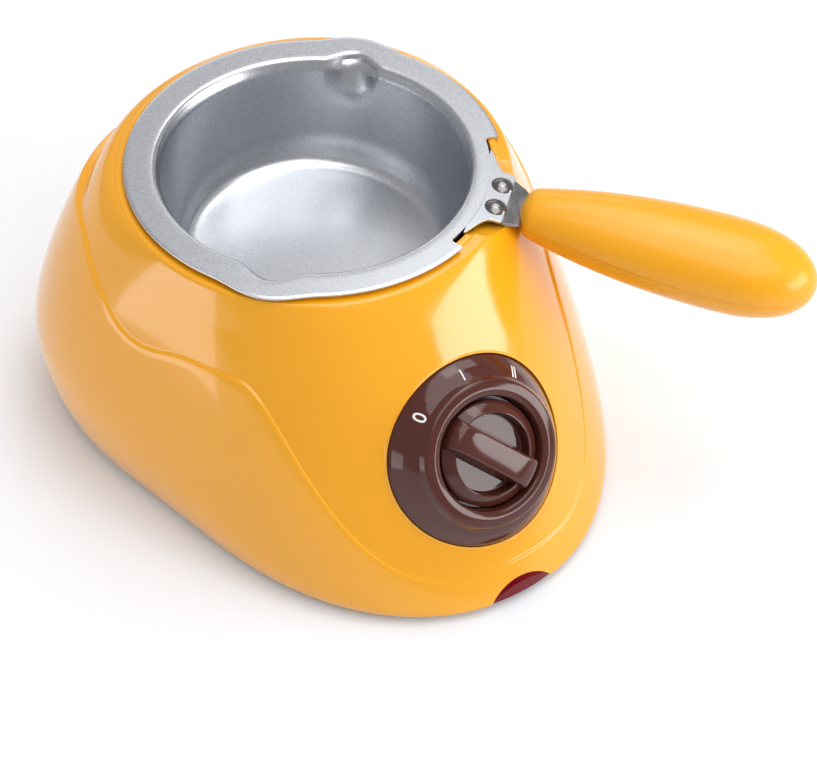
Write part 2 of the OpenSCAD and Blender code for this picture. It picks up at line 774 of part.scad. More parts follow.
// Supply terminals and cord entry
block_size = [26, 14, 10];
block_y = 50;
block_poles = 3;
block_pitch = 8;
block_bore = 2;
block_screw = 1.4;
module block_frame() {
    translate([0, block_y, foot_level]) children();
}
module terminal_block() {
    color("ivory") placed() block_frame() difference() {
        translate([-block_size[0] / 2, -block_size[1] / 2, 0]) cube(block_size);
        for (k = [0 : block_poles - 1]) {
            x = (k - (block_poles - 1) / 2) * block_pitch;
            translate([x, -block_size[1], block_size[2] / 2]) rotate([-90, 0, 0])
                cylinder(r = block_bore, h = 2 * block_size[1]);
            for (side = [-1, 1]) {
                translate([x, side * block_size[1] / 4, block_size[2] / 2])
                    cylinder(r = block_screw + slip, h = block_size[2]);
            }
        }
    }
}
module terminal_screws() {
    color(steel) placed() block_frame() for (k = [0 : block_poles - 1], side = [-1, 1]) {
        x = (k - (block_poles - 1) / 2) * block_pitch;
        translate([x, side * block_size[1] / 4, block_size[2] / 2 + wire_radius + gap])
            cylinder(r = block_screw, h = block_size[2] / 2 - wire_radius - 2 * gap);
    }
}
module cord_gland() {
    color(dark) placed() gland_frame() rotate_extrude() polygon([
        [gland_bore, -gland_neck - gland_lip], [gland_flange, -gland_neck - gland_lip],
        [gland_flange, -gland_neck], [gland_radius, -gland_neck], [gland_radius, 0],
        [gland_flange, 0], [gland_flange, gland_lip / 2], [gland_flange - gland_lip / 2, gland_lip],
        [gland_bore + gland_lip / 2, gland_lip], [gland_bore, gland_lip / 2]]);
}

// Leads inside the housing: each is a round tube along a smooth curve that leaves its
// two ends square. The bends are shares of the distance between the ends.
wire_radius = 1.1;
lamp_wire_radius = 0.8;
wire_sides = 8;
wire_steps = 10;
wire_bend_share = 0.36;
function unit(v) = v / norm(v);
function arc_point(a, b, c, d, t) =
    (1 - t) * (1 - t) * (1 - t) * a + 3 * (1 - t) * (1 - t) * t * b + 3 * (1 - t) * t * t * c
    + t * t * t * d;
function arc_slope(a, b, c, d, t) =
    (1 - t) * (1 - t) * (b - a) + 2 * (1 - t) * t * (c - b) + t * t * (d - c);
function wire_ring(at, along, side, r) =
    let (u = unit(cross(along, side)), v = cross(u, unit(along)))
    [for (k = [0 : wire_sides - 1])
        at + r * (cos(360 * k / wire_sides) * u + sin(360 * k / wire_sides) * v)];
module wire(start, start_way, end, end_way, side, r = wire_radius) {
    bend = wire_bend_share * norm(end - start);
    b = start + bend * start_way;
    c = end + bend * end_way;
    loft([for (i = [0 : wire_steps]) let (t = i / wire_steps)
        wire_ring(arc_point(start, b, c, end, t), arc_slope(start, b, c, end, t), side, r)]);
}
function dial_point(x, z) = [x, dial_y - z * cos(dial_tilt), dial_height + z * sin(dial_tilt)];
dial_back = [0, cos(dial_tilt), -sin(dial_tilt)];
function tag_end(k) = dial_point(k * tag_pitch, cup_bottom - switch_size[2] - tag[2] - gap);
function pole_end(k) =
    [k * block_pitch, block_y - block_size[1] / 4, foot_level + block_size[2] / 2];
function stat_end(side) =
    [side * stat_cap / 2, stat_reach, clamp_under - stat_height - blade[2] / 2 - gap];
function fuse_end(side) = [-fuse_reach + side * (fuse_length / 2 + gap), 0, clamp_under - fuse_radius];
function blade_end(a) = [blade_reach * sin(a), -blade_reach * cos(a),
                         element_under - blade[2] - clamp_thick - gap];
function lamp_end(side) = [side * (lamp_length / 2 + gap), lamp_back - nose_reach, lamp_z];
module supply_lead() {
    color(brown) placed() wire(pole_end(0), [0, -1, 0], tag_end(-1), dial_back, [1, 0, 0]);
}
module heater_lead() {
    color(brown) placed() wire(tag_end(1), dial_back, blade_end(blade_angles[0]), [0, 0, -1], [1, 0, 0]);
}
module fuse_lead() {
    color("blue") placed()
        wire(fuse_end(-1), [-1, 0, 0], blade_end(blade_angles[1]), [0, 0, -1], [0, 1, 0]);
}
module link_lead() {
    color("blue") placed() wire(stat_end(-1), [0, 0, -1], fuse_end(1), [1, 0, 0], [0, 1, 0]);
}
module neutral_lead() {
    color("blue") placed() wire(pole_end(1), [0, -1, 0], stat_end(1), [0, 0, -1], [1, 0, 0]);
}
module lamp_leads() {
    color("blue") placed() union() {
        wire(lamp_end(1), [1, 0, 0], tag_end(0), dial_back, [1, 0, 1], lamp_wire_radius);
        wire(lamp_end(-1), [-1, 0, 0], pole_end(-1), [0, -1, 0], [0, 0, 1], lamp_wire_radius);
    }
}

// Bracket, rivets and grip
tab_slope = 9;
tab_end = flange_radius + 3;
tab_half = 10.8;
tab_sheet = sheet;
rivet_reach = (tab_end + bracket_root) / 2;
rivet_pitch = 10;
rivet_radius = 1.8;
rivet_head = 3.5;
rivet_dome = 1.5;
rivet_tail = 1;
tail_share = 0.8;
module tab_frame() {
    handle_frame() translate([tab_root, 0, rim_height - sheet / 2]) rotate([0, tab_slope, 0])
        translate([-tab_root, 0, sheet / 2]) children();
}
module rivet_holes(r) {
    for (side = [-1, 1]) {
        translate([rivet_reach, side * rivet_pitch / 2, -reach / 4]) cylinder(r = r, h = reach / 2);
    }
}
module handle_tab() {
    tab_frame() translate([0, 0, -tab_sheet]) linear_extrude(height = tab_sheet)
        polygon(concat(
            [[tab_root, -tab_flare - sheet], [tab_root, tab_flare + sheet]],
            [for (k = [0 : 4]) let (t = k / 4)
                [tab_root + sheet + (tab_end - tab_root - 4 * sheet) * t,
                 tab_flare + (tab_half - tab_flare) * sin(90 * t)]],
            [[tab_end, tab_half], [tab_end, -tab_half]],
            [for (k = [4 : -1 : 0]) let (t = k / 4)
                [tab_root + sheet + (tab_end - tab_root - 4 * sheet) * t,
                 -tab_flare - (tab_half - tab_flare) * sin(90 * t)]]));
}

// Pot: rings from the middle of the underside, round the flange and down to the middle
// of the inside, each bulged at the two spouts
pot_sides = 96;
spout_half = 12;
lip_half = 17;
spout_depth = 12;
heel = 5;
heel_share = 0.3;
round_share = 0.3;
notch_reach = opening_radius - overrun;
notch_half = 22.5;
notch_round = 3;
centre_share = 0.04;
spout_angles = [90 - handle_angle + 90, 90 - handle_angle - 90];
function nearest_spout(a) = min([for (s = spout_angles)
    let (d = (a - s + 720) % 360) min(d, 360 - d)]);
function bulge(a, depth) = spout_bulge * bump(nearest_spout(a) / spout_half)
    * max(0, 1 - depth / spout_depth);
function lip(a) = spout_lip * bump(nearest_spout(a) / lip_half);
function pot_wall_radius(depth) =
    mouth_radius - mouth_round / 2 + (bottom_radius - mouth_radius + mouth_round / 2) * depth / pot_depth;
wall_depths = [2 * mouth_round, spout_depth / 2, spout_depth, pot_depth - heel];
function pot_loop(a) = concat(
    [[centre_share * bottom_radius, -pot_depth - sheet],
     [bottom_radius + sheet - heel, -pot_depth - sheet],
     [bottom_radius + sheet - heel * heel_share, -pot_depth - sheet + heel * heel_share]],
    [for (k = [3 : -1 : 0]) let (d = wall_depths[k])
        [pot_wall_radius(d) + sheet + bulge(a, d), -d]],
    [[mouth_radius + mouth_round + bulge(a, 0), -sheet],
     [flange_radius + lip(a), -sheet],
     [flange_radius + lip(a), -sheet * round_share],
     [flange_radius + lip(a) - sheet * round_share, 0],
     [mouth_radius + mouth_round + bulge(a, 0), 0],
     [mouth_radius + mouth_round * round_share + bulge(a, 0), -mouth_round * round_share]],
    [for (d = wall_depths) [pot_wall_radius(d) + bulge(a, d), -d]],
    [[bottom_radius - heel * heel_share, -pot_depth + heel * heel_share],
     [bottom_radius - heel, -pot_depth],
     [centre_share * bottom_radius, -pot_depth]]);
module pot() {
    color("silver") placed() difference() {
        union() {
            difference() {
                union() {
                    translate([0, 0, rim_height]) loft([for (i = [0 : pot_sides - 1])
                        let (a = 360 * i / pot_sides)
                        [for (p = pot_loop(a)) [p[0] * sin(a), -p[0] * cos(a), p[1]]]], true);
                    translate([0, 0, rim_height - pot_depth - sheet])
                        cylinder(r = 2 * centre_share * bottom_radius, h = sheet);
                }
                handle_frame() translate([notch_reach, 0, rim_height - 2 * sheet])
                    linear_extrude(height = 4 * sheet) union() {
                        translate([0, notch_round - notch_half])
                            square([reach, 2 * (notch_half - notch_round)]);
                        translate([notch_round, -notch_half]) square([reach, 2 * notch_half]);
                        for (side = [-1, 1]) {
                            translate([notch_round, side * (notch_half - notch_round)])
                                circle(r = notch_round);
                        }
                    }
            }
            handle_tab();
        }
        tab_frame() rivet_holes(rivet_radius + slip);
    }
}

bend_end = grip_start + 3;
tang_half = 5.5;
tang_length = 46;
neck_half = 8;
screw_hole_reach = 32;
grip_screw_radius = 1.5;
grip_screw_head = 3;
module bracket_side() {
    drop_tab = (tab_end - tab_root) * tan(tab_slope);
    root_drop = (bracket_root - tab_root) * tan(tab_slope);
    top = rim_height - tab_sheet / cos(tab_slope) - slip;
    tang_drop = (bend_end - grip_start) * tan(handle_slope);
    tang_end_x = grip_start + tang_length;
    tang_z = grip_z + bracket_sheet / 2;
    path = [[bracket_root, top - root_drop], [tab_end, top - drop_tab],
            [bend_end, tang_z - tang_drop], [tang_end_x, tang_z - tang_length * tan(handle_slope)]];
    polygon(concat(path, [for (k = [3 : -1 : 0]) path[k] - [0, bracket_sheet / cos(tab_slope)]]));
}
module handle_bracket() {
    color(steel) placed() difference() {
        intersection() {
            handle_frame() translate([0, bracket_width / 2, 0]) rotate([90, 0, 0])
                linear_extrude(height = bracket_width) bracket_side();
            handle_frame() linear_extrude(height = 2 * rim_height) polygon([
                [bracket_root, -bracket_width / 2], [tab_end, -bracket_width / 2],
                [grip_start + slip, -neck_half], [bend_end, -tang_half],
                [grip_start + tang_length, -tang_half], [grip_start + tang_length, tang_half],
                [bend_end, tang_half], [grip_start + slip, neck_half],
                [tab_end, bracket_width / 2], [bracket_root, bracket_width / 2]]);
        }
        tab_frame() rivet_holes(rivet_radius + slip);
        tang_frame() translate([screw_hole_reach, 0, -reach / 2])
            cylinder(r = grip_screw_radius + gap, h = reach);
    }
}
module handle_rivets() {
    stack = tab_sheet + bracket_sheet + 2 * slip;
    dome_ball = (rivet_head * rivet_head + rivet_dome * rivet_dome) / (2 * rivet_dome);
    color(steel) placed() tab_frame() for (side = [-1, 1]) {
        translate([rivet_reach, side * rivet_pitch / 2, 0]) union() {
            intersection() {
                translate([0, 0, rivet_dome - dome_ball]) sphere(r = dome_ball);
                cylinder(r = rivet_head, h = reach);
            }
            translate([0, 0, -stack - rivet_tail / 2]) cylinder(r = rivet_radius, h = stack + rivet_dome);
            translate([0, 0, -stack - rivet_tail]) cylinder(r = rivet_head * tail_share, h = rivet_tail);
        }
    }
}

// Each half of the grip is a loft of half sections closed by the parting plane
grip_rings = 26;
grip_arc = 12;
function grip_station(i) = (1 - cos(180 * i / grip_rings)) / 2;
function half_section(s, up) =
    let (w = max(grip_half(s), gap), h = w * grip_flatness_share)
    [for (k = [0 : grip_arc]) let (a = 180 * k / grip_arc)
        [grip_length * s, (up ? -1 : 1) * w * cos(a), (up ? 1 : -1) * h * sin(a)]];
module grip_half_solid(up) {
    loft([for (i = [0 : grip_rings]) half_section(grip_station(i), up)]);
}
tang_clear = 0.15;
module tang_slot() {
    translate([-overrun, -tang_half - tang_clear, -bracket_sheet])
        cube([tang_length / cos(handle_slope) + overrun + gap, 2 * (tang_half + tang_clear),
              2 * bracket_sheet]);
}
module neck_slot() {
    translate([-overrun, -neck_half - tang_clear, -bracket_sheet])
        cube([bend_end - grip_start + overrun + gap, 2 * (neck_half + tang_clear), 4 * bracket_sheet]);
}
module handle_upper() {
    color(orange) placed() tang_frame() difference() {
        grip_half_solid(true);
        tang_slot();
        neck_slot();
        translate([screw_hole_reach, 0, -overrun])
            cylinder(r = pilot_radius, h = overrun + grip_half_width / 2);
    }
}
module handle_lower() {
    color(orange) placed() tang_frame() difference() {
        translate([0, 0, -slip]) grip_half_solid(false);
        tang_slot();
        neck_slot();
        translate([screw_hole_reach, 0, -reach]) cylinder(r = grip_screw_radius + gap, h = 2 * reach);
        translate([screw_hole_reach, 0, -reach - grip_half_width / 2])
            cylinder(r = grip_screw_head + gap, h = reach);
    }
}
module handle_screw() {
    color(steel) placed() tang_frame() translate([screw_hole_reach, 0, -grip_half_width / 2 - head_height])
        screw(pilot_radius - slip, grip_screw_head, head_height, grip_half_width / 2 + grip_half_width / 3);
}

housing();
base_cover();
foot_front_left();
foot_front_right();
foot_rear_left();
foot_rear_right();
base_screws();
well_liner();
liner_screws();
heating_plate();
plate_screws();
insulation_disc();
heating_element();
clamp_plate();
clamp_nut();
thermostat();
thermal_fuse();
dial_plate();
switch_body();
switch_nut();
lamp_lens();
neon_lamp();
lamp_holder();
terminal_block();
terminal_screws();
cord_gland();
supply_lead();
heater_lead();
fuse_lead();
link_lead();
neutral_lead();
lamp_leads();
knob();
switch_shaft();
pot();
handle_bracket();
handle_rivets();
handle_upper();
handle_lower();
handle_screw();
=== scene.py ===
"""Looks of an electric chocolate melting pot: smooth shells, finishes, studio and camera.

Lengths are in millimetres in the pot's own frame, whose origin is on the pot's axis at
the table, and become metres in the row's frame when a mesh is made. Angles in plan run
from the front (-Y) towards +X.
"""

import math

import bmesh
import bpy
import numpy as np
from mathutils import Matrix, Vector


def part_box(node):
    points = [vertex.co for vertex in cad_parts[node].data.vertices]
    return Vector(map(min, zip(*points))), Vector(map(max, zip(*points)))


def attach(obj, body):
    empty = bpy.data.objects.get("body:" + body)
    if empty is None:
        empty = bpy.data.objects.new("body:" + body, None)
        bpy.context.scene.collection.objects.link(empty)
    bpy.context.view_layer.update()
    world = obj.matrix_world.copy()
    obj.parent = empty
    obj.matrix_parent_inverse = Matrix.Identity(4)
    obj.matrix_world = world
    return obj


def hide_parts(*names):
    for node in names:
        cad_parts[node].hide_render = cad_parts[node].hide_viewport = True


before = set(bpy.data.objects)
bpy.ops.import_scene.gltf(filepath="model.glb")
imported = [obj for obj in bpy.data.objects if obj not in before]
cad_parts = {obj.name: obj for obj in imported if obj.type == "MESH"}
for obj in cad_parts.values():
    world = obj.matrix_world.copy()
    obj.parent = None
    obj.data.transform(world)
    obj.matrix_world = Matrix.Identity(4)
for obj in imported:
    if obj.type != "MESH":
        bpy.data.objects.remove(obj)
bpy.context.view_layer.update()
MM = 0.001

# The pot's axis and the level of its flange, read from the frame
plate_low, plate_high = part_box("heating_plate")
AXIS = (plate_low + plate_high) / 2
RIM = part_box("pot")[1].z / MM
SHEET = 1.0

# Housing: plan, wall and levels, as in the part's source; three values are for front, side and back
SHOULDER_RADIUS, SHOULDER_DROP = 61.5, 2.5
SHOULDER = RIM - SHOULDER_DROP
NOSE, SIDE, BACK = 118.8, 84.8, 77.0
CHEEK = 8.9
BELLY = 32.5
TUCK = 5.8
FOOT = 3.0
WALL = 2.4
OPENING = 55.5
SEAT = RIM - SHEET
COLLAR_DEPTH = 9.0
COLLAR = SEAT - COLLAR_DEPTH
BLEND_POWER = 2.7
INNER_BOW = (1.06, 1.9, 0.67)
OUTER_BOW = (1.11, 0.85, 2.4)

# Raised line: its level, its step, and the angles from the front between which they change
LINE_FRONT, LINE_SIDE, LINE_BACK = 13.3, 66.6, 77.4
STEP_FRONT, STEP_SIDE, STEP_BACK = 0.35, 0.75, 3.0
CLIMB, CLIMB_POWER = (8, 51.3), 1.32
BACK_CLIMB = (84.5, 113)
DEEPEN = (108, 140)
LINE_DIP, LINE_DIP_ANGLE, LINE_DIP_HALF = 3.6, 79.5, 15.5
LINE_FILLET = 0.9
LINE_FADE = 10

# Dial, knob and lamp
DIAL_HEIGHT = 44.6
DIAL_RADIUS = 29.6
DIAL_SETBACK = 1.5
DIAL_SEAT_FLOOR = -7.5
RING_RADIUS, RING_HEIGHT = 22.3, 7.2
WELL_RADIUS = 17.3
CONE_TOP = 5.6
KNOB_RADIUS = 16.4
KNOB_TOP = 8.0
KNOB_BRIM = 5.0
KNOB_UNDER = 1.3
POCKET_FLOOR = 3.6
BAR_HEIGHT = 10.6
OFF_ANGLE = -42
MARK_STEP = 42

# Pot and handle
FLANGE = 59.0
MOUTH = 49.0
BOTTOM = 43.0
DEPTH = 38.0
SPOUT_BULGE, SPOUT_HALF, SPOUT_DEPTH = 4.5, 12, 12.0
SPOUT_LIP, LIP_HALF = 2.7, 17
HANDLE_ANGLE = 47.5
HANDLE_SLOPE = 6.5
GRIP_START = 65.5
GRIP_DROP = 5.2
GRIP_Z = RIM - GRIP_DROP
GRIP_LENGTH = 93.5
GRIP_HALF = 16.2
GRIP_FLAT = 0.85


# Plan and profile of the housing
def smooth(t):
    """0 below t = 0, 1 above t = 1, and a smooth step between."""
    s = np.clip(t, 0, 1)
    return s * s * (3 - 2 * s)


def bump(t):
    """1 at t = 0, falling smoothly to 0 at t = -1 and t = 1."""
    return np.where(np.abs(t) < 1, np.cos(np.pi / 2 * np.clip(t, -1, 1)) ** 2, 0)


def blend(a, shares):
    """A value at plan angle a, from its values at the front, the sides and the back."""
    c = np.cos(np.radians(a))
    front = ((1 + c) / 2) ** BLEND_POWER
    back = ((1 - c) / 2) ** BLEND_POWER
    return shares[1] + (shares[0] - shares[1]) * front + (shares[2] - shares[1]) * back


def plan_radius(a):
    """Radius of the housing's plan at its widest level."""
    t = np.radians(a)
    mean = (NOSE + BACK + 2 * SIDE) / 4
    lead = (NOSE - BACK) / 2 - CHEEK
    oval = (NOSE + BACK - 2 * SIDE) / 4
    return mean + lead * np.cos(t) + oval * np.cos(2 * t) + CHEEK * np.cos(3 * t)


def skin_radius(a, z):
    """Radius of the housing's skin at plan angle a and level z, without the raised line."""
    a, z = np.broadcast_arrays(np.asarray(a, float), np.asarray(z, float))
    w = blend(a, (FOOT, BELLY, BELLY))
    plan = plan_radius(a)
    span = np.maximum(w - FOOT, 1e-6)
    low = plan - TUCK * np.clip((w - z) / span, 0, 1) ** 2 * (w - FOOT) / (BELLY - FOOT)
    share = np.clip((z - w) / (SHOULDER - w), 0, 1)
    bow = np.clip(1 - share ** blend(a, INNER_BOW), 0, 1) ** (1 / blend(a, OUTER_BOW))
    high = SHOULDER_RADIUS + (plan - SHOULDER_RADIUS) * bow
    return np.where(z < w, low, high)


def from_front(a):
    return np.abs((np.asarray(a, float) + 180) % 360 - 180)


def line_level(a):
    b = from_front(a)
    climb = smooth((b - CLIMB[0]) / (CLIMB[1] - CLIMB[0])) ** CLIMB_POWER
    rear = smooth((b - BACK_CLIMB[0]) / (BACK_CLIMB[1] - BACK_CLIMB[0]))
    level = LINE_FRONT + (LINE_SIDE - LINE_FRONT) * climb + (LINE_BACK - LINE_SIDE) * rear
    return level - LINE_DIP * bump((b - LINE_DIP_ANGLE) / LINE_DIP_HALF)


def line_step(a):
    b = from_front(a)
    side = smooth(b / CLIMB[1])
    rear = smooth((b - DEEPEN[0]) / (DEEPEN[1] - DEEPEN[0]))
    return STEP_FRONT + (STEP_SIDE - STEP_FRONT) * side + (STEP_BACK - STEP_SIDE) * rear


def outer_radius(a, z):
    """Radius of the housing's skin, which steps in above the raised line."""
    over = smooth((z - line_level(a)) / LINE_FILLET + 0.5)
    fade = np.clip((SHOULDER - z) / LINE_FADE, 0, 1)
    return skin_radius(a, z) - line_step(a) * over * fade


# Frames that the pieces are drawn in
def to_row(points):
    """From millimetres about the pot's axis to metres in the row's frame."""
    return np.asarray(points, float) * MM + np.array([AXIS.x, AXIS.y, 0.0])


# The dial's edge follows the round front: it falls at the sides by the dial's wrap
DIAL_TILT = math.atan((NOSE - SHOULDER_RADIUS) / (SHOULDER - FOOT))
DIAL_Y = DIAL_SETBACK - float(skin_radius(0, DIAL_HEIGHT))
wrap_angle = math.atan(DIAL_RADIUS / -DIAL_Y)
side_reach = float(skin_radius(math.degrees(wrap_angle), DIAL_HEIGHT)) * math.cos(wrap_angle)
side_fall = (-DIAL_Y - side_reach) * math.cos(DIAL_TILT)
front_rise = DIAL_SETBACK * math.cos(DIAL_TILT)
DIAL_WRAP = (front_rise + side_fall) / 2
DIAL_MEAN = (front_rise - side_fall) / 2


def from_dial(points):
    """Points in the dial's frame, x to the right, y up the slope, z out, in the pot's frame."""
    p = np.asarray(points, float)
    c, s = math.cos(DIAL_TILT), math.sin(DIAL_TILT)
    x, y, z = p[..., 0], p[..., 1], p[..., 2]
    return np.stack([x, DIAL_Y + y * s - z * c, DIAL_HEIGHT + y * c + z * s], -1)


def from_handle(points):
    """Points with x out along the handle in plan, in the pot's frame."""
    p = np.asarray(points, float)
    c, s = math.cos(math.radians(HANDLE_ANGLE)), math.sin(math.radians(HANDLE_ANGLE))
    x, y, z = p[..., 0], p[..., 1], p[..., 2]
    return np.stack([x * c + y * s, -x * s + y * c, z], -1)


def from_tang(points):
    """Points in the sloping grip's own frame, x along it from its near end."""
    p = np.asarray(points, float)
    c, s = math.cos(math.radians(HANDLE_SLOPE)), math.sin(math.radians(HANDLE_SLOPE))
    x, y, z = p[..., 0], p[..., 1], p[..., 2]
    return from_handle(np.stack([GRIP_START + x * c + z * s, y, GRIP_Z - x * s + z * c], -1))


# Mesh helpers
def new_object(name, points, faces, material=None, uvs=None):
    mesh = bpy.data.meshes.new(name)
    mesh.from_pydata([tuple(p) for p in to_row(points)], [], faces)
    mesh.validate()
    if uvs is not None:
        layer = mesh.uv_layers.new(name="finish")
        flat = np.array([uvs[v.vertex_index] for v in mesh.loops], np.float32)
        layer.data.foreach_set("uv", flat.ravel())
    mesh.update()
    obj = bpy.data.objects.new(name, mesh)
    bpy.context.scene.collection.objects.link(obj)
    if material:
        mesh.materials.append(material)
    return obj


UV_LENGTH = 100
POLE = 0.001


def grid_object(name, grid, around=True, closed=False, material=None, caps=False):
    """A surface from a grid of points: rows of stations, each a run of points."""
    rows, count = grid.shape[:2]
    faces = []
    for i in range(rows if around else rows - 1):
        for j in range(count if closed else count - 1):
            a, b = i * count + j, i * count + (j + 1) % count
            k = (i + 1) % rows
            c, d = k * count + (j + 1) % count, k * count + j
            faces.append((a, d, c, b))
    if caps:
        faces.append(list(range(count)))
        faces.append([(rows - 1) * count + j for j in reversed(range(count))])
    lengths = np.concatenate([[0], np.cumsum(np.linalg.norm(np.diff(grid[0], axis=0), axis=1))])
    uvs = [(i / rows, lengths[j] / UV_LENGTH) for i in range(rows) for j in range(count)]
    return new_object(name, grid.reshape(-1, 3), faces, material, uvs)


def shade(obj, angle):
    """Smooth shading, with the edges sharper than the angle kept sharp."""
    obj.data.shade_smooth()
    obj.data.set_sharp_from_angle(angle=math.radians(angle))


def apply_modifiers(obj):
    depsgraph = bpy.context.evaluated_depsgraph_get()
    made = bpy.data.meshes.new_from_object(obj.evaluated_get(depsgraph))
    obj.modifiers.clear()
    old = obj.data
    obj.data = made
    bpy.data.meshes.remove(old)


def carve(obj, cutter, operation="DIFFERENCE"):
    """Cut the cutter from obj, or join it, and remove the cutter."""
    cut = obj.modifiers.new("cut", "BOOLEAN")
    cut.operation = operation
    cut.solver = "EXACT"
    cut.object = cutter
    bpy.context.view_layer.update()
    apply_modifiers(obj)
    bpy.data.objects.remove(cutter)


def soften(obj, width, segments=3, angle=30):
    """Round the edges by width, in millimetres."""
    edge = obj.modifiers.new("edge", "BEVEL")
    edge.width = width * MM
    edge.segments = segments
    edge.limit_method = "ANGLE"
    edge.angle_limit = math.radians(angle)
    edge.harden_normals = True


def turned(profile, place, count=160, saddle=None):
    """Grid of a turned profile of (radius, height) points, in the frame that place gives.

    saddle says how much of the dial's wrap each point follows.
    """
    angles = np.radians(np.arange(count) * 360 / count)
    rows = []
    for t in angles:
        wave = DIAL_MEAN - DIAL_WRAP * math.cos(2 * t)
        row = []
        for k, (r, z) in enumerate(profile):
            lift = saddle[k] * wave if saddle is not None else 0
            row.append((r * math.cos(t), r * math.sin(t), z + lift))
        rows.append(row)
    return place(np.array(rows))


def cylinder(name, place, radius, low, high, count=128):
    profile = [(POLE, low), (radius, low), (radius, high), (POLE, high)]
    return grid_object(name, turned(profile, place, count), closed=True)


def prism(name, place, outline, low, high):
    n = len(outline)
    points = [(x, y, low) for x, y in outline] + [(x, y, high) for x, y in outline]
    faces = [(i, (i + 1) % n, n + (i + 1) % n, n + i) for i in range(n)]
    faces += [tuple(range(n - 1, -1, -1)), tuple(range(n, 2 * n))]
    return new_object(name, place(np.array(points, float)), faces)


def recalc(obj):
    """Turn all faces outwards."""
    work = bmesh.new()
    work.from_mesh(obj.data)
    bmesh.ops.recalc_face_normals(work, faces=work.faces)
    work.to_mesh(obj.data)
    work.free()
    return obj


# Angles between which half a corner is rounded, and the share of a side that a rounding may take
CORNER_LEAST, CORNER_MOST, SIDE_SHARE = math.radians(1), math.radians(88), 0.49
SHORTEST_SIDE = 1e-6


def rounded(points, radius, steps=6):
    """An outline or profile with each corner rounded; radius is one value or one per point."""
    result = []
    n = len(points)
    for i, p in enumerate(points):
        r = radius[i] if hasattr(radius, "__len__") else radius
        p = Vector(p)
        a, b = Vector(points[i - 1]) - p, Vector(points[(i + 1) % n]) - p
        if r <= 0 or min(a.length, b.length) < SHORTEST_SIDE:
            result.append(tuple(p))
            continue
        half = a.angle(b) / 2
        if half > CORNER_MOST or half < CORNER_LEAST:
            result.append(tuple(p))
            continue
        cut = min(r / math.tan(half), a.length * SIDE_SHARE, b.length * SIDE_SHARE)
        start, end = p + a.normalized() * cut, p + b.normalized() * cut
        for k in range(steps + 1):
            t = k / steps
            result.append(tuple((1 - t) ** 2 * start + 2 * (1 - t) * t * p + t * t * end))
    return result


# Materials
RAMP_LOW, RAMP_HIGH = 0.3, 0.7


def principled(name, colour, roughness, metallic=0.0, **sockets):
    material = bpy.data.materials.new(name)
    material.use_nodes = True
    shader = material.node_tree.nodes["Principled BSDF"]
    shader.inputs["Base Color"].default_value = (*colour, 1)
    shader.inputs["Roughness"].default_value = roughness
    shader.inputs["Metallic"].default_value = metallic
    for socket, value in sockets.items():
        shader.inputs[socket.replace("_", " ")].default_value = value
    return material


def add_noise(material, scale, detail=3.0, stretch=(1, 1, 1), coordinates="Object", roughness=0.5):
    nodes, links = material.node_tree.nodes, material.node_tree.links
    where = nodes.new("ShaderNodeTexCoord")
    mapping = nodes.new("ShaderNodeMapping")
    mapping.inputs["Scale"].default_value = stretch
    noise = nodes.new("ShaderNodeTexNoise")
    noise.inputs["Scale"].default_value = scale
    noise.inputs["Detail"].default_value = detail
    noise.inputs["Roughness"].default_value = roughness
    links.new(where.outputs[coordinates], mapping.inputs["Vector"])
    links.new(mapping.outputs["Vector"], noise.inputs["Vector"])
    return noise


def vary_colour(material, noise, dark, light):
    nodes, links = material.node_tree.nodes, material.node_tree.links
    ramp = nodes.new("ShaderNodeValToRGB")
    ramp.color_ramp.elements[0].position = RAMP_LOW
    ramp.color_ramp.elements[1].position = RAMP_HIGH
    ramp.color_ramp.elements[0].color = (*dark, 1)
    ramp.color_ramp.elements[1].color = (*light, 1)
    links.new(noise.outputs["Fac"], ramp.inputs["Fac"])
    links.new(ramp.outputs["Color"], nodes["Principled BSDF"].inputs["Base Color"])


def vary_roughness(material, noise, low, high):
    nodes, links = material.node_tree.nodes, material.node_tree.links
    reach = nodes.new("ShaderNodeMapRange")
    reach.inputs["From Min"].default_value = RAMP_LOW
    reach.inputs["From Max"].default_value = RAMP_HIGH
    reach.inputs["To Min"].default_value = low
    reach.inputs["To Max"].default_value = high
    links.new(noise.outputs["Fac"], reach.inputs["Value"])
    links.new(reach.outputs["Result"], nodes["Principled BSDF"].inputs["Roughness"])


def add_bump(material, noise, strength, depth=0.1):
    nodes, links = material.node_tree.nodes, material.node_tree.links
    height = nodes.new("ShaderNodeBump")
    height.inputs["Strength"].default_value = strength
    height.inputs["Distance"].default_value = depth * MM
    links.new(noise.outputs["Fac"], height.inputs["Height"])
    links.new(height.outputs["Normal"], nodes["Principled BSDF"].inputs["Normal"])


def gloss_plastic(name, colour, shift, roughness=0.16, coat=0.5, specular=0.5, peel=0.05):
    """Moulded glossy plastic with a faint flow mottle and a fine skin."""
    material = principled(
        name,
        colour,
        roughness,
        Coat_Weight=coat,
        Coat_Roughness=0.05,
        Specular_IOR_Level=specular,
        IOR=1.5,
    )
    mottle = add_noise(material, 18, 2)
    dark = tuple(c * (1 - shift) for c in colour)
    light = tuple(min(1, c * (1 + shift)) for c in colour)
    vary_colour(material, mottle, dark, light)
    skin = add_noise(material, 900, 2)
    vary_roughness(material, skin, roughness * 0.85, roughness * 1.2)
    add_bump(material, add_noise(material, 140, 2), peel, 0.1)
    return material


def matte_plastic(name, colour, roughness=0.5, grain=1500):
    material = principled(name, colour, roughness, IOR=1.46)
    noise = add_noise(material, grain, 3)
    vary_roughness(material, noise, roughness - 0.08, roughness + 0.12)
    add_bump(material, noise, 0.25, 0.06)
    dark = tuple(c * 0.88 for c in colour)
    light = tuple(c * 1.1 for c in colour)
    vary_colour(material, add_noise(material, 60, 3), dark, light)
    return material


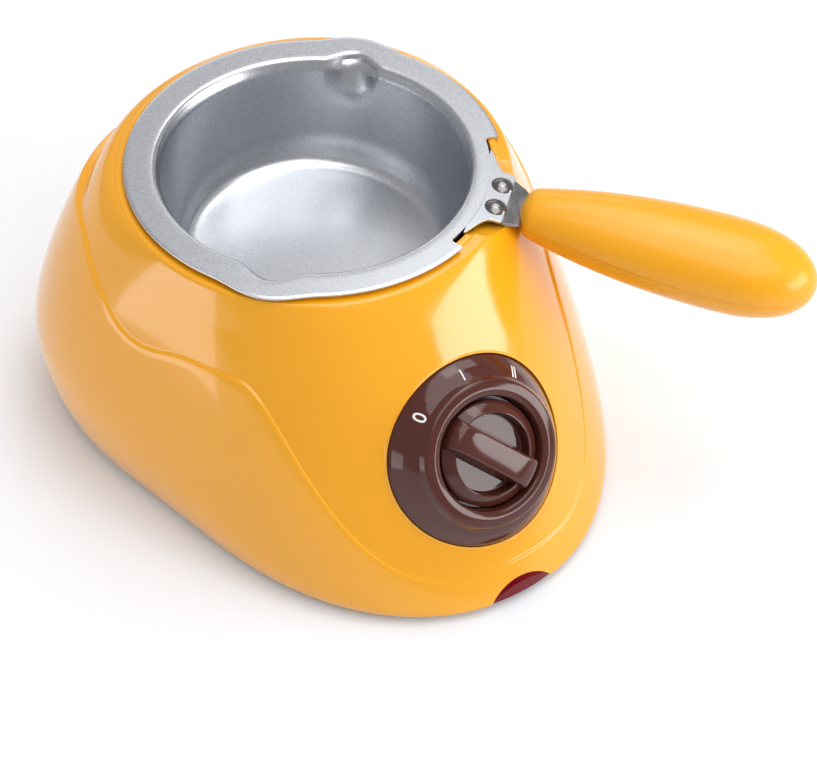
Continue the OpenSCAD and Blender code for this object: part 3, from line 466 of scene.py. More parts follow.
def brushed_metal(
    name, colour, roughness, stretch, coordinates="Object", contrast=0.1, shift=0.1, grain=0.12
):
    """Metal with fine streaks along the short side of stretch."""
    material = principled(name, colour, roughness, 1.0)
    streaks = add_noise(material, 1.0, 4, stretch, coordinates, 0.65)
    vary_roughness(material, streaks, roughness - contrast, roughness + contrast)
    dark = tuple(c * (1 - shift) for c in colour)
    light = tuple(min(1, c * (1 + shift)) for c in colour)
    vary_colour(material, streaks, dark, light)
    add_bump(material, streaks, grain, 0.03)
    return material


SHELL_COLOUR = (0.90, 0.39, 0.008)
ORANGE = gloss_plastic("shell_plastic", SHELL_COLOUR, 0.02)
GRIP = gloss_plastic(
    "grip_plastic", SHELL_COLOUR, 0.02, roughness=0.30, coat=0.15, specular=0.4, peel=0.0
)
BROWN = gloss_plastic(
    "brown_plastic", (0.080, 0.0205, 0.0145), 0.06, roughness=0.10, coat=0.25, specular=0.33
)
DARK = matte_plastic("dark_plastic", (0.022, 0.021, 0.021), 0.5)
RUBBER = matte_plastic("rubber", (0.014, 0.014, 0.014), 0.75, 2500)
IVORY = matte_plastic("ivory_plastic", (0.72, 0.68, 0.56), 0.45)
MICA = matte_plastic("mica", (0.42, 0.34, 0.20), 0.35, 500)
ALUMINIUM = brushed_metal(
    "spun_aluminium",
    (0.585, 0.60, 0.635),
    0.29,
    (1700, 50, 1),
    coordinates="UV",
    contrast=0.05,
    shift=0.06,
    grain=0.035,
)
PLATE = brushed_metal("cast_aluminium", (0.70, 0.71, 0.72), 0.38, (260, 260, 260))
STEEL = brushed_metal("pressed_steel", (0.30, 0.295, 0.295), 0.24, (220, 220, 900))
RIVET = brushed_metal("rivet_steel", (0.22, 0.21, 0.205), 0.20, (500, 500, 500))
LINER = brushed_metal("liner_steel", (0.60, 0.60, 0.61), 0.25, (60, 60, 1500))
PLATED = brushed_metal("plated_screws", (0.62, 0.62, 0.60), 0.24, (500, 500, 500))
WHITE = principled("white_print", (0.86, 0.86, 0.84), 0.35)
add_bump(WHITE, add_noise(WHITE, 900, 2), 0.1, 0.02)
LENS = principled("red_lens", (0.16, 0.004, 0.010), 0.12, Specular_IOR_Level=0.15, IOR=1.5)
vary_colour(LENS, add_noise(LENS, 55, 2), (0.11, 0.002, 0.006), (0.21, 0.005, 0.014))
GLASS = principled("lamp_glass", (0.95, 0.85, 0.78), 0.03, Transmission_Weight=0.9, IOR=1.46)
WIRE_BROWN = matte_plastic("brown_wire", (0.10, 0.035, 0.014), 0.4)
WIRE_BLUE = matte_plastic("blue_wire", (0.02, 0.08, 0.34), 0.4)


# Housing: the rebate that the flange lies in, the round top edge and the hem (inset, rise)
REBATE, REBATE_RISE = 57.6, 0.35
TOP_INSET, TOP_RISE = 0.6, 0.5
TOP_ROUNDS = [0, 0.5, 0.2, 0.2, 0.7, 0]
HEM = ((1.2, 0), (0.45, 0.06), (0.1, 0.22))
HEM_RISE = 0.5
SLOPE_REACH = 0.3
STATIONS = 360
LOW_RINGS, STEP_RINGS, HIGH_RINGS = 26, 8, 46
INNER_RINGS = 24


def housing_grid():
    """One closed section per plan angle: outside, hem, rim, seat, collar and inside."""
    rows = []
    half = LINE_FILLET / 2
    for a in np.arange(STATIONS) * 360 / STATIONS:
        line = float(line_level(a))
        low = np.linspace(FOOT + HEM_RISE, line - half, LOW_RINGS + 1)
        step = np.linspace(line - half, line + half, STEP_RINGS + 1)[1:-1]
        high = np.linspace(line + half, SHOULDER, HIGH_RINGS + 1)
        z = np.concatenate([low, step, high])
        r = outer_radius(a, z)
        hem = [(r[0] - inset, FOOT + rise) for inset, rise in HEM]
        outer = hem + list(zip(r, z))
        top = rounded(
            [
                (SHOULDER_RADIUS, SHOULDER),
                (SHOULDER_RADIUS - TOP_INSET, SHOULDER + TOP_RISE),
                (REBATE, SHOULDER + REBATE_RISE),
                (REBATE, SEAT),
                (OPENING, SEAT),
                (OPENING, COLLAR),
            ],
            TOP_ROUNDS,
            4,
        )[1:]
        zi = np.linspace(COLLAR, FOOT, INNER_RINGS + 1)
        above, below = zi + SLOPE_REACH, np.maximum(FOOT, zi - SLOPE_REACH)
        slope = (skin_radius(a, above) - skin_radius(a, below)) / (above - below)
        ri = skin_radius(a, zi) - line_step(a) - WALL * np.sqrt(1 + slope**2)
        loop = outer + top + list(zip(ri, zi))
        t = math.radians(a)
        rows.append([(p * math.sin(t), -p * math.cos(t), q) for p, q in loop])
    return np.array(rows)


# Cuts in the housing: the dial's seat, the lamp's notch, the cord's gland and the dip for the tab
DIAL_SEAT_CLEAR, DIAL_SEAT_CUT = 0.25, 30
LAMP_HALF, LAMP_RISE, LAMP_DEEP = 11.5, 5.4, 14
ARCH_RADIUS = (LAMP_HALF**2 + LAMP_RISE**2) / (2 * LAMP_RISE)
ARCH_Z = FOOT + LAMP_RISE - ARCH_RADIUS
NOSE_CLEAR, BACK_CLEAR = 5, 20
GLAND_HEIGHT, GLAND_FLANGE, GLAND_SINK = 16.0, 7.3, 1.6
GLAND_FACE = BACK - TUCK / 2 - GLAND_SINK
CORD_HOLE, CORD_DEEP = 4.65, 15
TAB_DIP_RADIUS, TAB_DIP_DEPTH = 40.0, 6.0
TAB_DIP_START, TAB_DIP_END = OPENING - 4.0, OPENING + 13


def nose_frame(points):
    """x across, y up, z out of the nose."""
    p = np.asarray(points, float)
    return np.stack([p[..., 0], -p[..., 2], p[..., 1]], -1)


def back_frame(points):
    """x across, y up, z out of the back."""
    p = np.asarray(points, float)
    return np.stack([p[..., 0], p[..., 2], p[..., 1]], -1)


def make_housing():
    skin = recalc(grid_object("housing_shell", housing_grid(), closed=True, material=ORANGE))
    seat_radius = DIAL_RADIUS + DIAL_SEAT_CLEAR
    carve(skin, recalc(cylinder("seat_cut", from_dial, seat_radius, DIAL_SEAT_FLOOR, DIAL_SEAT_CUT, 256)))

    def arch_place(p):
        q = nose_frame(p)
        q[..., 2] += ARCH_Z
        return q

    arch_back, arch_front = NOSE - LAMP_DEEP, NOSE + NOSE_CLEAR
    carve(skin, recalc(cylinder("arch_cut", arch_place, ARCH_RADIUS, arch_back, arch_front, 192)))

    def gland_place(p):
        q = back_frame(p)
        q[..., 2] += GLAND_HEIGHT
        return q

    far = BACK + BACK_CLEAR
    carve(skin, recalc(cylinder("gland_cut", gland_place, GLAND_FLANGE, GLAND_FACE, far, 96)))
    carve(skin, recalc(cylinder("cord_cut", gland_place, CORD_HOLE, GLAND_FACE - CORD_DEEP, far, 96)))

    def dip_place(p):
        level = RIM - TAB_DIP_DEPTH + TAB_DIP_RADIUS
        return from_handle(np.stack([p[..., 2], p[..., 0], p[..., 1] + level], -1))

    carve(skin, recalc(cylinder("dip_cut", dip_place, TAB_DIP_RADIUS, TAB_DIP_START, TAB_DIP_END, 240)))
    shade(skin, 40)
    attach(skin, "base")
    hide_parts("housing")


# Dial plate and its printed marks
DIAL_EDGE, DIAL_SIDE, DIAL_WALL, DIAL_UNDER = 0.7, -0.9, 2.4, -2.7
CONE_FOOT, CONE_HEAD = DIAL_RADIUS - DIAL_EDGE, RING_RADIUS + 0.9
CONE_RISE = CONE_TOP - 0.6
RING_FOOT, RING_OUTER, RING_INNER = RING_RADIUS + 1.4, RING_RADIUS + 0.3, WELL_RADIUS + 0.5
RING_EDGE, RING_CREST = RING_HEIGHT - 0.35, RING_HEIGHT + 0.1
WELL_EDGE = CONE_TOP - 1.2
CREASE_TOP = CONE_RISE * (CONE_FOOT - RING_FOOT) / (CONE_FOOT - CONE_HEAD)
CONE_BULGE = 0.45
DIAL_FLOOR_TOP, DIAL_FLOOR_UNDER, DIAL_FLOOR_LIP = 1.0, -1.5, 1.0
BUSH_HOLE, BUSH_CUT = 5.2, 5


def cone_swell(u):
    """How far the cone of the dial bulges, u of the way up."""
    return CONE_BULGE * math.sin(math.pi * u)


def dial_profile():
    """Points of radius, height and share of the wrap: side, cone, ridge, well and underside."""
    points = [
        (DIAL_RADIUS, DIAL_SEAT_FLOOR, 0),
        (DIAL_RADIUS, DIAL_SIDE, 1),
        (CONE_FOOT, 0.0, 1),
    ]
    for u in (0.2, 0.4, 0.6, 0.8):
        r = CONE_FOOT + (RING_FOOT - CONE_FOOT) * u
        points.append((r, CREASE_TOP * u + cone_swell(u), 1 - u))
    points += [
        (RING_FOOT, CREASE_TOP, 0),
        (RING_OUTER, RING_EDGE, 0),
        ((RING_RADIUS + WELL_RADIUS) / 2, RING_CREST, 0),
        (RING_INNER, RING_EDGE, 0),
        (WELL_RADIUS, WELL_EDGE, 0),
        (WELL_RADIUS, DIAL_FLOOR_TOP, 0),
        (WELL_RADIUS - DIAL_FLOOR_LIP, DIAL_FLOOR_TOP, 0),
        (WELL_RADIUS - DIAL_FLOOR_LIP, DIAL_FLOOR_UNDER, 0),
        (WELL_RADIUS + DIAL_WALL, DIAL_FLOOR_UNDER, 0),
        (WELL_RADIUS + DIAL_WALL, CONE_TOP - DIAL_WALL, 0),
        (DIAL_RADIUS - DIAL_WALL, DIAL_UNDER, 0),
        (DIAL_RADIUS - DIAL_WALL, DIAL_SEAT_FLOOR, 0),
    ]
    round_by = [0, 0.5, 1.2, 1.0, 1.0, 1.0, 1.0, 0.7, 1.6, 3.0, 1.4, 1.0, 0.4, 0, 0, 0, 0, 0, 0]
    return rounded(points, round_by, 6)


def make_dial():
    profile = dial_profile()
    grid = turned([(r, z) for r, z, _ in profile], from_dial, 240, [s for _, _, s in profile])
    plate = recalc(grid_object("dial_shell", grid, closed=True, material=BROWN))
    shade(plate, 50)
    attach(plate, "base")
    radius = WELL_RADIUS - DIAL_FLOOR_LIP / 2
    floor = recalc(cylinder("dial_floor", from_dial, radius, DIAL_FLOOR_UNDER, DIAL_FLOOR_TOP, 96))
    carve(floor, recalc(cylinder("bush_cut", from_dial, BUSH_HOLE, -BUSH_CUT, BUSH_CUT, 64)))
    floor.data.materials.append(BROWN)
    shade(floor, 40)
    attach(floor, "base")
    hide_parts("dial_plate")


SEARCH_REACH, SEARCH_STEPS = 8.0, 30


def skin_height(r, t):
    """Height of the housing's skin above the dial's plane, at radius r and angle t."""
    low, high = -SEARCH_REACH, SEARCH_REACH
    for _ in range(SEARCH_STEPS):
        z = (low + high) / 2
        p = from_dial((r * math.cos(t), r * math.sin(t), z))
        a = math.degrees(math.atan2(p[0], -p[1]))
        if math.hypot(p[0], p[1]) < float(outer_radius(a, p[2])):
            low = z
        else:
            high = z
    return low


BEAD_WIDTH, BEAD_SINK, BEAD_STATIONS = 0.8, 0.5, 240
BEAD_CROWN = ((0, 0.12), (0.1, 0.24), (0.25, 0.28))
BEAD_FALL = (0.45, 0.2)


def make_bead():
    """A fine raised edge of the housing round the dial."""
    rows = []
    inner = DIAL_RADIUS + DIAL_SEAT_CLEAR
    outer = inner + BEAD_WIDTH
    for k in range(BEAD_STATIONS):
        t = 2 * math.pi * k / BEAD_STATIONS
        h, foot = skin_height(inner, t), skin_height(outer, t)
        loop = [(inner, h - BEAD_SINK)]
        loop += [(inner + out, h + rise) for out, rise in BEAD_CROWN]
        loop += [
            (inner + BEAD_FALL[0], (h + foot) / 2 + BEAD_FALL[1]),
            (outer, foot - 0.03),
            (outer - 0.1, foot - BEAD_SINK),
        ]
        rows.append([(r * math.cos(t), r * math.sin(t), z) for r, z in loop])
    bead = recalc(grid_object("dial_bead", from_dial(np.array(rows)), closed=True, material=ORANGE))
    shade(bead, 60)
    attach(bead, "base")


def cone_height(r, t):
    """Height of the dial's cone at radius r and angle t, in radians."""
    outer = DIAL_MEAN - DIAL_WRAP * np.cos(2 * t)
    share = (CONE_FOOT - r) / (CONE_FOOT - CONE_HEAD)
    bulge = cone_swell(min(1, (CONE_FOOT - r) / (CONE_FOOT - RING_FOOT)))
    return outer + (CONE_RISE - outer) * share + bulge


MARK_RADIUS = 25.7
MARK_HEIGHT = 3.2
MARK_STROKE, MARK_SPACING = 0.5, 1.0
RING_MARK_HALF, RING_MARK_BOW, RING_MARK_HOLE = 1.3, (0.8, 0.9), (0.52, 0.66)
PRINT_LIFT, INK = 0.06, 0.05


def printed(name, outline_rows, angle):
    """A printed strip: pairs of inner and outer points in the mark's own frame, y outwards."""
    points, faces = [], []
    turn = math.radians(-angle)
    for pair in outline_rows:
        for x, y in pair:
            r = MARK_RADIUS + y
            px = x * math.cos(turn) - r * math.sin(turn)
            py = x * math.sin(turn) + r * math.cos(turn)
            height = float(cone_height(math.hypot(px, py), math.atan2(py, px)))
            points.append((px, py, height + PRINT_LIFT))
    for i in range(len(outline_rows) - 1):
        a = 2 * i
        faces.append((a, a + 2, a + 3, a + 1))
    obj = recalc(new_object(name, from_dial(points), faces, WHITE))
    thick = obj.modifiers.new("ink", "SOLIDIFY")
    thick.thickness = INK * MM
    thick.offset = 0
    obj.data.shade_smooth()
    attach(obj, "base")


def stroke(x):
    """A straight mark, x to the side of the mark's middle."""
    half = MARK_STROKE / 2
    steps = np.linspace(-MARK_HEIGHT / 2, MARK_HEIGHT / 2, 9)
    return [((x - half, y), (x + half, y)) for y in steps]


def ring_mark():
    """The round off mark, as pairs of points on its hole and its edge."""
    rows = []
    for t in np.radians(np.arange(49) * 7.5):
        c, s = math.cos(t), math.sin(t)
        x = RING_MARK_HALF * math.copysign(abs(c) ** RING_MARK_BOW[0], c)
        y = MARK_HEIGHT / 2 * math.copysign(abs(s) ** RING_MARK_BOW[1], s)
        rows.append(((x * RING_MARK_HOLE[0], y * RING_MARK_HOLE[1]), (x, y)))
    return rows


def make_marks():
    printed("mark_off", ring_mark(), OFF_ANGLE)
    printed("mark_one", stroke(0), OFF_ANGLE + MARK_STEP)
    printed("mark_two_left", stroke(-MARK_SPACING / 2), OFF_ANGLE + 2 * MARK_STEP)
    printed("mark_two_right", stroke(MARK_SPACING / 2), OFF_ANGLE + 2 * MARK_STEP)


# Knob
def knob_frame(points):
    """Points with y along the grip bar, in the pot's frame."""
    p = np.asarray(points, float)
    t = math.radians(-OFF_ANGLE)
    c, s = math.cos(t), math.sin(t)
    x, y, z = p[..., 0], p[..., 1], p[..., 2]
    return from_dial(np.stack([x * c - y * s, x * s + y * c, z], -1))


BAR_BASE, BAR_TOP, BAR_ROUND, BAR_CROWN = 5.6, 4.1, 1.1, 0.12
BAR_FOOT, BAR_END = KNOB_UNDER + 0.2, KNOB_BRIM - 0.3
BAR_LEAN = (BAR_BASE - BAR_TOP) / (BAR_HEIGHT - POCKET_FLOOR)
BAR_REACH = KNOB_RADIUS - 0.05
BAR_STATIONS = 80


def bar_grid():
    """Cross-sections of the grip bar, whose ends follow the knob's round edge."""
    rows = []
    for k in range(BAR_STATIONS + 1):
        s = -math.cos(math.pi * k / BAR_STATIONS)
        bow = max(0.0, 1 - abs(s) ** 6) ** (1 / 3)
        h = BAR_END + (BAR_HEIGHT - BAR_END) * bow
        r = min(BAR_ROUND, (h - POCKET_FLOOR) * 0.45)

        def half(z):
            return BAR_BASE - BAR_LEAN * max(0.0, z - POCKET_FLOOR)

        side = [(BAR_BASE, BAR_FOOT), (BAR_BASE, POCKET_FLOOR)]
        side += [(half(z), z) for z in np.linspace(POCKET_FLOOR, h - r, 6)[1:]]
        for t in np.radians([20, 40, 60, 80]):
            side.append((half(h - r) - r * (1 - math.cos(t)), h - r + r * math.sin(t)))
        inner = half(h - r) - r
        crown = BAR_CROWN * bow
        side += [(inner * share, h + crown * (1 - share**2)) for share in (0.9, 0.6, 0.3)]
        section = side + [(0, h + crown)] + [(-y, z) for y, z in reversed(side)]
        rows.append([(y, s * math.sqrt(BAR_REACH**2 - y**2), z) for y, z in section])
    return knob_frame(np.array(rows))


KNOB_RIM = KNOB_RADIUS - 3.8
POCKET_RINGS = (0.4, 1.6, 2.2)


def make_knob():
    pocket = [(KNOB_RIM - inset, POCKET_FLOOR) for inset in POCKET_RINGS]
    profile = rounded(
        [(KNOB_RADIUS, KNOB_UNDER), (KNOB_RADIUS, KNOB_BRIM), (KNOB_RIM, KNOB_TOP)]
        + pocket
        + [(POLE, POCKET_FLOOR), (POLE, KNOB_UNDER)],
        [0, 0.7, 0.6, 0.8, 0, 0, 0, 0],
        5,
    )
    grid = turned(profile, knob_frame, 200)
    disc = recalc(grid_object("knob_body", grid, closed=True, material=BROWN))
    bar = recalc(grid_object("knob_bar", bar_grid(), around=False, closed=True, caps=True))
    carve(disc, bar, "UNION")
    shade(disc, 32)
    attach(disc, "knob")
    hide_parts("knob")


# Pot, whose spouts stand square to the handle
SPOUTS = (180 - HANDLE_ANGLE, -HANDLE_ANGLE)
WALL_INSET = 0.7
WALL_DEPTHS = (2.8, 4.5, 6.5, 9.0, 12.0, 18.0, 26.0, DEPTH - 5)
HEEL, FLAT = 5, 20
MOUTH_FILLET = ((1.6, 0), (1.05, 0.06), (0.55, 0.26), (0.2, 0.62), (-0.15, 1.2), (-0.4, 1.95))
UNDER_FILLET = 1.4
FLANGE_ROUND = ((0.35, 0), (0.1, 0.1), (0, 0.35))
FLANGE_FLAT = 1.2


def nearest_spout(a):
    """Plan angle from a to the nearer spout."""
    d = np.abs((a - np.array(SPOUTS) + 180) % 360 - 180)
    return float(d.min())


def pot_profile(a):
    """Closed section at plan angle a, of radius and height above the flange's face."""
    spout = SPOUT_BULGE * float(bump(nearest_spout(a) / SPOUT_HALF))
    lip = SPOUT_LIP * float(bump(nearest_spout(a) / LIP_HALF))

    def bulge(depth):
        return spout * max(0.0, 1 - depth / SPOUT_DEPTH)

    def wall(depth):
        top = MOUTH - WALL_INSET
        return top + (BOTTOM - top) * depth / DEPTH

    def heel(edge, floor, turns):
        middle, level = edge - HEEL, floor + HEEL
        turns = np.radians(turns)
        return [(middle + HEEL * math.sin(t), level - HEEL * math.cos(t)) for t in turns]

    outside = [(wall(d) + SHEET + bulge(d), -d) for d in reversed(WALL_DEPTHS)]
    inside = [(wall(d) + bulge(d), -d) for d in WALL_DEPTHS]
    heel_out = heel(BOTTOM + SHEET, -DEPTH - SHEET, [0, 20, 40, 60, 80])
    heel_in = heel(BOTTOM, -DEPTH, [80, 60, 40, 20, 0])
    mouth = MOUTH + spout
    flange = FLANGE + lip
    edge = [(mouth + UNDER_FILLET, -SHEET)]
    edge += [(flange - inset, -SHEET + rise) for inset, rise in FLANGE_ROUND]
    edge += [(flange - inset, -fall) for inset, fall in reversed(FLANGE_ROUND)]
    first, last = mouth + MOUTH_FILLET[0][0], flange - FLANGE_FLAT
    across = [(first + (last - first) * t, 0) for t in (1, 0.75, 0.5, 0.25)]
    fillet = [(mouth + out, -fall) for out, fall in MOUTH_FILLET]
    start = [(POLE, -DEPTH - SHEET), (FLAT, -DEPTH - SHEET)]
    finish = [(FLAT, -DEPTH), (POLE, -DEPTH)]
    return start + heel_out + outside + edge + across + fillet + inside + heel_in + finish


# The flange's cut round the handle's tab, and the tab
CUT_REACH, CUT_ANGLE, CUT_ROUND, CUT_WIDTH, CUT_HEIGHT = 54.6, 26.0, 1.4, 20, 2
TAB_ROOT, TAB_END, TAB_FLARE, TAB_HALF, TAB_SLOPE = 51.8, 62.0, 18.5, 10.8, 9.0
TAB_LEAD, TAB_STRAIGHT = 1.0, 3
TAB_CORNER = ((1.2, 0), (0.35, 0.35), (0, 1.2))
TAB_SOFT = 0.25


def tab_outline():
    """Outline of the tab, which narrows in a curve from the flange to its end."""
    side = []
    start, length = TAB_ROOT + TAB_LEAD, TAB_END - TAB_ROOT - TAB_LEAD - TAB_STRAIGHT
    for t in np.linspace(0, 1, 9):
        narrow = (TAB_HALF - TAB_FLARE) * math.sin(math.pi / 2 * t)
        side.append((start + length * t, TAB_FLARE + narrow))
    end = [(TAB_END - back, TAB_HALF - inset) for back, inset in TAB_CORNER]
    half = [(TAB_ROOT, TAB_FLARE + 1)] + side + end
    return half + [(x, -y) for x, y in reversed(half)]


def cut_outline():
    """A sector of a ring, with its two inner corners rounded."""
    turns = np.radians(np.linspace(-CUT_ANGLE, CUT_ANGLE, 25))
    arc = [(CUT_REACH * math.cos(t), CUT_REACH * math.sin(t)) for t in turns]
    far = CUT_REACH + CUT_WIDTH
    ends = [(far * math.cos(t), far * math.sin(t)) for t in (turns[-1], turns[0])]
    return rounded(arc + ends, [CUT_ROUND] + [0] * (len(arc) - 2) + [CUT_ROUND, 0, 0], 8)


def from_tab(points):
    """Points on the sloping tab, x out from its root, in the pot's frame."""
    p = np.asarray(points, float)
    c, s = math.cos(math.radians(TAB_SLOPE)), math.sin(math.radians(TAB_SLOPE))
    x, y, z = p[..., 0] - TAB_ROOT, p[..., 1], p[..., 2] + SHEET / 2
    level = RIM - SHEET / 2
    return from_handle(np.stack([TAB_ROOT + x * c + z * s, y, level - x * s + z * c], -1))


POT_STATIONS = 480


def make_pot():
    rows = []
    for a in np.arange(POT_STATIONS) * 360 / POT_STATIONS:
        t = math.radians(a)
        rows.append([(r * math.sin(t), -r * math.cos(t), RIM + z) for r, z in pot_profile(a)])
    pot = recalc(grid_object("pot_shell", np.array(rows), closed=True, material=ALUMINIUM))
    low, high = RIM - CUT_HEIGHT, RIM + CUT_HEIGHT
    carve(pot, recalc(prism("flange_cut", from_handle, cut_outline(), low, high)))
    shade(pot, 40)
    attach(pot, "pot")
    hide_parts("pot")
    tab = recalc(prism("pot_tab", from_tab, tab_outline(), -SHEET, 0))
    tab.data.materials.append(ALUMINIUM)
    soften(tab, TAB_SOFT)
    shade(tab, 30)
    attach(tab, "pot")


# Grip: where it is fattest and where its near end closes, as shares of its length
FAT, NEAR = 0.67, 0.042
SLIM, SWELL, END_BOW = 0.445, 0.84, 2.6
GRIP_STATIONS, GRIP_TIP = 90, 0.02
SEAM = 0.12


def grip_half(s):
    """Half the grip's width, s of the way along it."""
    if s < FAT:
        swell = SLIM + (1 - SLIM) * math.sin(math.pi / 2 * (s / FAT) ** SWELL)
    else:
        swell = math.sqrt(max(0, 1 - ((s - FAT) / (1 - FAT)) ** END_BOW))
    close = math.sqrt(max(0, 1 - (1 - s / NEAR) ** 2)) if s < NEAR else 1
    return GRIP_HALF * swell * close


def make_grip(name, node, sign):
    """One moulded half of the grip, above (1) or below (-1) the fine groove of its seam."""
    rows = []
    for k in range(GRIP_STATIONS + 1):
        s = (1 - math.cos(math.pi * k / GRIP_STATIONS)) / 2
        w = max(grip_half(s), GRIP_TIP)
        h = w * GRIP_FLAT
        x = GRIP_LENGTH * s
        turns = np.linspace(0, math.pi, 49)
        arc = [(x, w * math.cos(t), sign * h * math.sin(t)) for t in turns]
        inset = min(SEAM, w * 0.3)
        arc[0] = (x, w - inset, 0)
        arc[-1] = (x, -w + inset, 0)
        arc.insert(1, (x, w - inset * 0.25, sign * inset * 0.8))
        arc.insert(-1, (x, -w + inset * 0.25, sign * inset * 0.8))
        rows.append(arc)
    grid = from_tang(np.array(rows))
    half = recalc(grid_object(name, grid, around=False, closed=True, caps=True, material=GRIP))
    shade(half, 50)
    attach(half, "pot")
    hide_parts(node)


# Finishes of the nodes that keep their own shape
FINISHES = {
    DARK: ["base_cover", "switch_body", "thermostat", "heating_element"],
    RUBBER: ["foot_front_left", "foot_front_right", "foot_rear_left", "foot_rear_right", "cord_gland"],
    IVORY: ["lamp_holder", "terminal_block", "thermal_fuse"],
    MICA: ["insulation_disc"],
    PLATE: ["heating_plate"],
    LINER: ["well_liner", "clamp_plate"],
    STEEL: ["handle_bracket", "switch_shaft", "switch_nut", "clamp_nut"],
    RIVET: ["handle_rivets"],
    PLATED: ["base_screws", "liner_screws", "plate_screws", "terminal_screws", "handle_screw"],
    LENS: ["lamp_lens"],
    GLASS: ["neon_lamp"],
    WIRE_BROWN: ["supply_lead", "heater_lead"],
    WIRE_BLUE: ["fuse_lead", "link_lead", "neutral_lead", "lamp_leads"],
}


def finish_nodes():
    for material, names in FINISHES.items():
        for name in names:
            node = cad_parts[name]
            node.data.materials.clear()
            node.data.materials.append(material)


# Studio, in metres
FLOOR_SIZE = 6
FLOOR_COLOUR = (0.89, 0.91, 0.95, 1)
FADE_START, FADE_END, FADE_LEAST = 0.22, 0.55, 0.15
ROOM_LIGHT = 0.42
HEART_HEIGHT = 0.06
CARD_PLACE = Vector((-0.44, 0.06, 0.052))


def area(name, where, target, power, width, height):
    """A rectangular light that faces the target."""
    light = bpy.data.lights.new(name, "AREA")
    light.energy = power
    light.shape = "RECTANGLE"
    light.size = width
    light.size_y = height
    lamp = bpy.data.objects.new(name, light)
    bpy.context.scene.collection.objects.link(lamp)
    lamp.location = where
    lamp.rotation_mode = "QUATERNION"
    lamp.rotation_quaternion = (target - where).to_track_quat("-Z", "Y")


def make_floor():
    """A matt floor, shown ever whiter to the camera and in reflections away from the object."""
    bpy.ops.mesh.primitive_plane_add(size=FLOOR_SIZE, location=(0, 0, 0))
    floor = bpy.context.object
    floor.name = "floor"
    material = bpy.data.materials.new("pale_floor")
    material.use_nodes = True
    nodes, links = material.node_tree.nodes, material.node_tree.links
    shader = nodes["Principled BSDF"]
    shader.inputs["Base Color"].default_value = FLOOR_COLOUR
    shader.inputs["Roughness"].default_value = 0.7
    shader.inputs["Specular IOR Level"].default_value = 0.2
    place = nodes.new("ShaderNodeNewGeometry")
    away = nodes.new("ShaderNodeVectorMath")
    away.operation = "LENGTH"
    reach = nodes.new("ShaderNodeMapRange")
    reach.interpolation_type = "SMOOTHSTEP"
    reach.inputs["From Min"].default_value = FADE_START
    reach.inputs["From Max"].default_value = FADE_END
    reach.inputs["To Min"].default_value = FADE_LEAST
    reach.inputs["To Max"].default_value = 1.0
    links.new(place.outputs["Position"], away.inputs[0])
    links.new(away.outputs["Value"], reach.inputs["Value"])
    path = nodes.new("ShaderNodeLightPath")
    glow = nodes.new("ShaderNodeEmission")
    glow.inputs["Strength"].default_value = 1.0
    mix = nodes.new("ShaderNodeMixShader")
    seen = nodes.new("ShaderNodeMath")
    seen.operation = "MAXIMUM"
    share = nodes.new("ShaderNodeMath")
    share.operation = "MULTIPLY"
    links.new(reach.outputs["Result"], share.inputs[1])
    links.new(path.outputs["Is Camera Ray"], seen.inputs[0])
    links.new(path.outputs["Is Glossy Ray"], seen.inputs[1])
    links.new(seen.outputs["Value"], share.inputs[0])
    links.new(share.outputs["Value"], mix.inputs["Fac"])
    links.new(shader.outputs["BSDF"], mix.inputs[1])
    links.new(glow.outputs["Emission"], mix.inputs[2])
    links.new(mix.outputs["Shader"], nodes["Material Output"].inputs["Surface"])
    floor.data.materials.append(material)


def make_world():
    """An even room light, which the camera sees as plain white."""
    world = bpy.data.worlds.new("studio")
    bpy.context.scene.world = world
    world.use_nodes = True
    nodes, links = world.node_tree.nodes, world.node_tree.links
    light, shown = nodes["Background"], nodes.new("ShaderNodeBackground")
    light.inputs["Color"].default_value = (1, 1, 1, 1)
    light.inputs["Strength"].default_value = ROOM_LIGHT
    shown.inputs["Color"].default_value = (1, 1, 1, 1)
    shown.inputs["Strength"].default_value = 1.0
    path = nodes.new("ShaderNodeLightPath")
    either = nodes.new("ShaderNodeMath")
    either.operation = "MAXIMUM"
    mix = nodes.new("ShaderNodeMixShader")
    links.new(path.outputs["Is Camera Ray"], either.inputs[0])
    links.new(path.outputs["Is Transmission Ray"], either.inputs[1])
    links.new(either.outputs["Value"], mix.inputs["Fac"])
    links.new(light.outputs["Background"], mix.inputs[1])
    links.new(shown.outputs["Background"], mix.inputs[2])
    links.new(mix.outputs["Shader"], nodes["World Output"].inputs["Surface"])


def placed(azimuth, elevation, distance):
    """A point at plan angle azimuth from the front, seen from the middle of the object."""
    a, e = math.radians(azimuth), math.radians(elevation)
    flat = distance * math.cos(e)
    return Vector((flat * math.sin(a), -flat * math.cos(a), HEART_HEIGHT + distance * math.sin(e)))


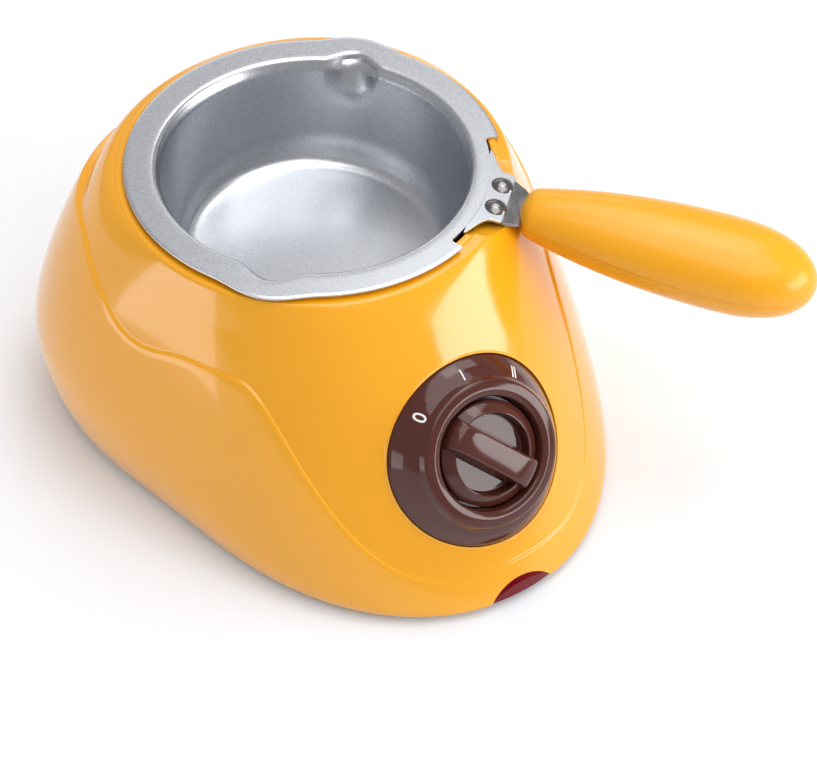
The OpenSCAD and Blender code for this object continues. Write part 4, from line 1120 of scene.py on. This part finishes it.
def make_lights():
    heart = Vector((0, 0, HEART_HEIGHT))
    area("right_softbox", placed(40, 14, 1.0), heart, 4.2, 0.74, 0.32)
    area("rim_softbox", placed(152, 26, 1.1), heart, 0.7, 0.7, 0.24)
    area("rear_softbox", placed(118, 66, 1.2), heart, 5.0, 0.8, 0.8)
    area("top_softbox", placed(10, 72, 1.3), heart, 9.6, 1.2, 1.2)
    area("left_card", CARD_PLACE, Vector((0, 0, CARD_PLACE.z)), 0.16, 0.24, 0.10)


# Camera: turns in radians, shift and distance in millimetres from the middle of the pot's rim
CAMERA_AZIMUTH = 0.6124552
CAMERA_ELEVATION = 0.8168232
CAMERA_ROLL = -0.0258646
CAMERA_SHIFT = (-29.25447, 69.01368)
CAMERA_DISTANCE = 800.0
FOCAL_PIXELS = 2584.156
FRAME_WIDTH = 817
SENSOR = 36


def make_camera():
    """The photograph's camera, placed from the middle of the pot's rim."""
    ca, sa = math.cos(CAMERA_AZIMUTH), math.sin(CAMERA_AZIMUTH)
    ce, se = math.cos(CAMERA_ELEVATION), math.sin(CAMERA_ELEVATION)
    cr, sr = math.cos(CAMERA_ROLL), math.sin(CAMERA_ROLL)
    turn = Matrix(((ca, -sa, 0), (sa, ca, 0), (0, 0, 1)))
    tilt = Matrix(((1, 0, 0), (0, se, ce), (0, -ce, se)))
    roll = Matrix(((cr, -sr, 0), (sr, cr, 0), (0, 0, 1)))
    axes = (roll @ tilt @ turn).transposed()
    offset = axes @ Vector((-CAMERA_SHIFT[0], -CAMERA_SHIFT[1], CAMERA_DISTANCE))
    data = bpy.data.cameras.new("camera")
    data.sensor_width = SENSOR
    data.lens = FOCAL_PIXELS / FRAME_WIDTH * SENSOR
    data.clip_start, data.clip_end = 0.01, 50
    camera = bpy.data.objects.new("camera", data)
    bpy.context.scene.collection.objects.link(camera)
    place = axes.to_4x4()
    place.translation = Vector((AXIS.x, AXIS.y, RIM * MM)) + offset * MM
    camera.matrix_world = place
    bpy.context.scene.camera = camera


make_camera()
make_world()
make_lights()
make_floor()
make_housing()
make_dial()
make_marks()
make_bead()
make_knob()
make_pot()
make_grip("grip_upper", "handle_upper", 1)
make_grip("grip_lower", "handle_lower", -1)
finish_nodes()

bpy.context.scene.view_settings.view_transform = "Standard"
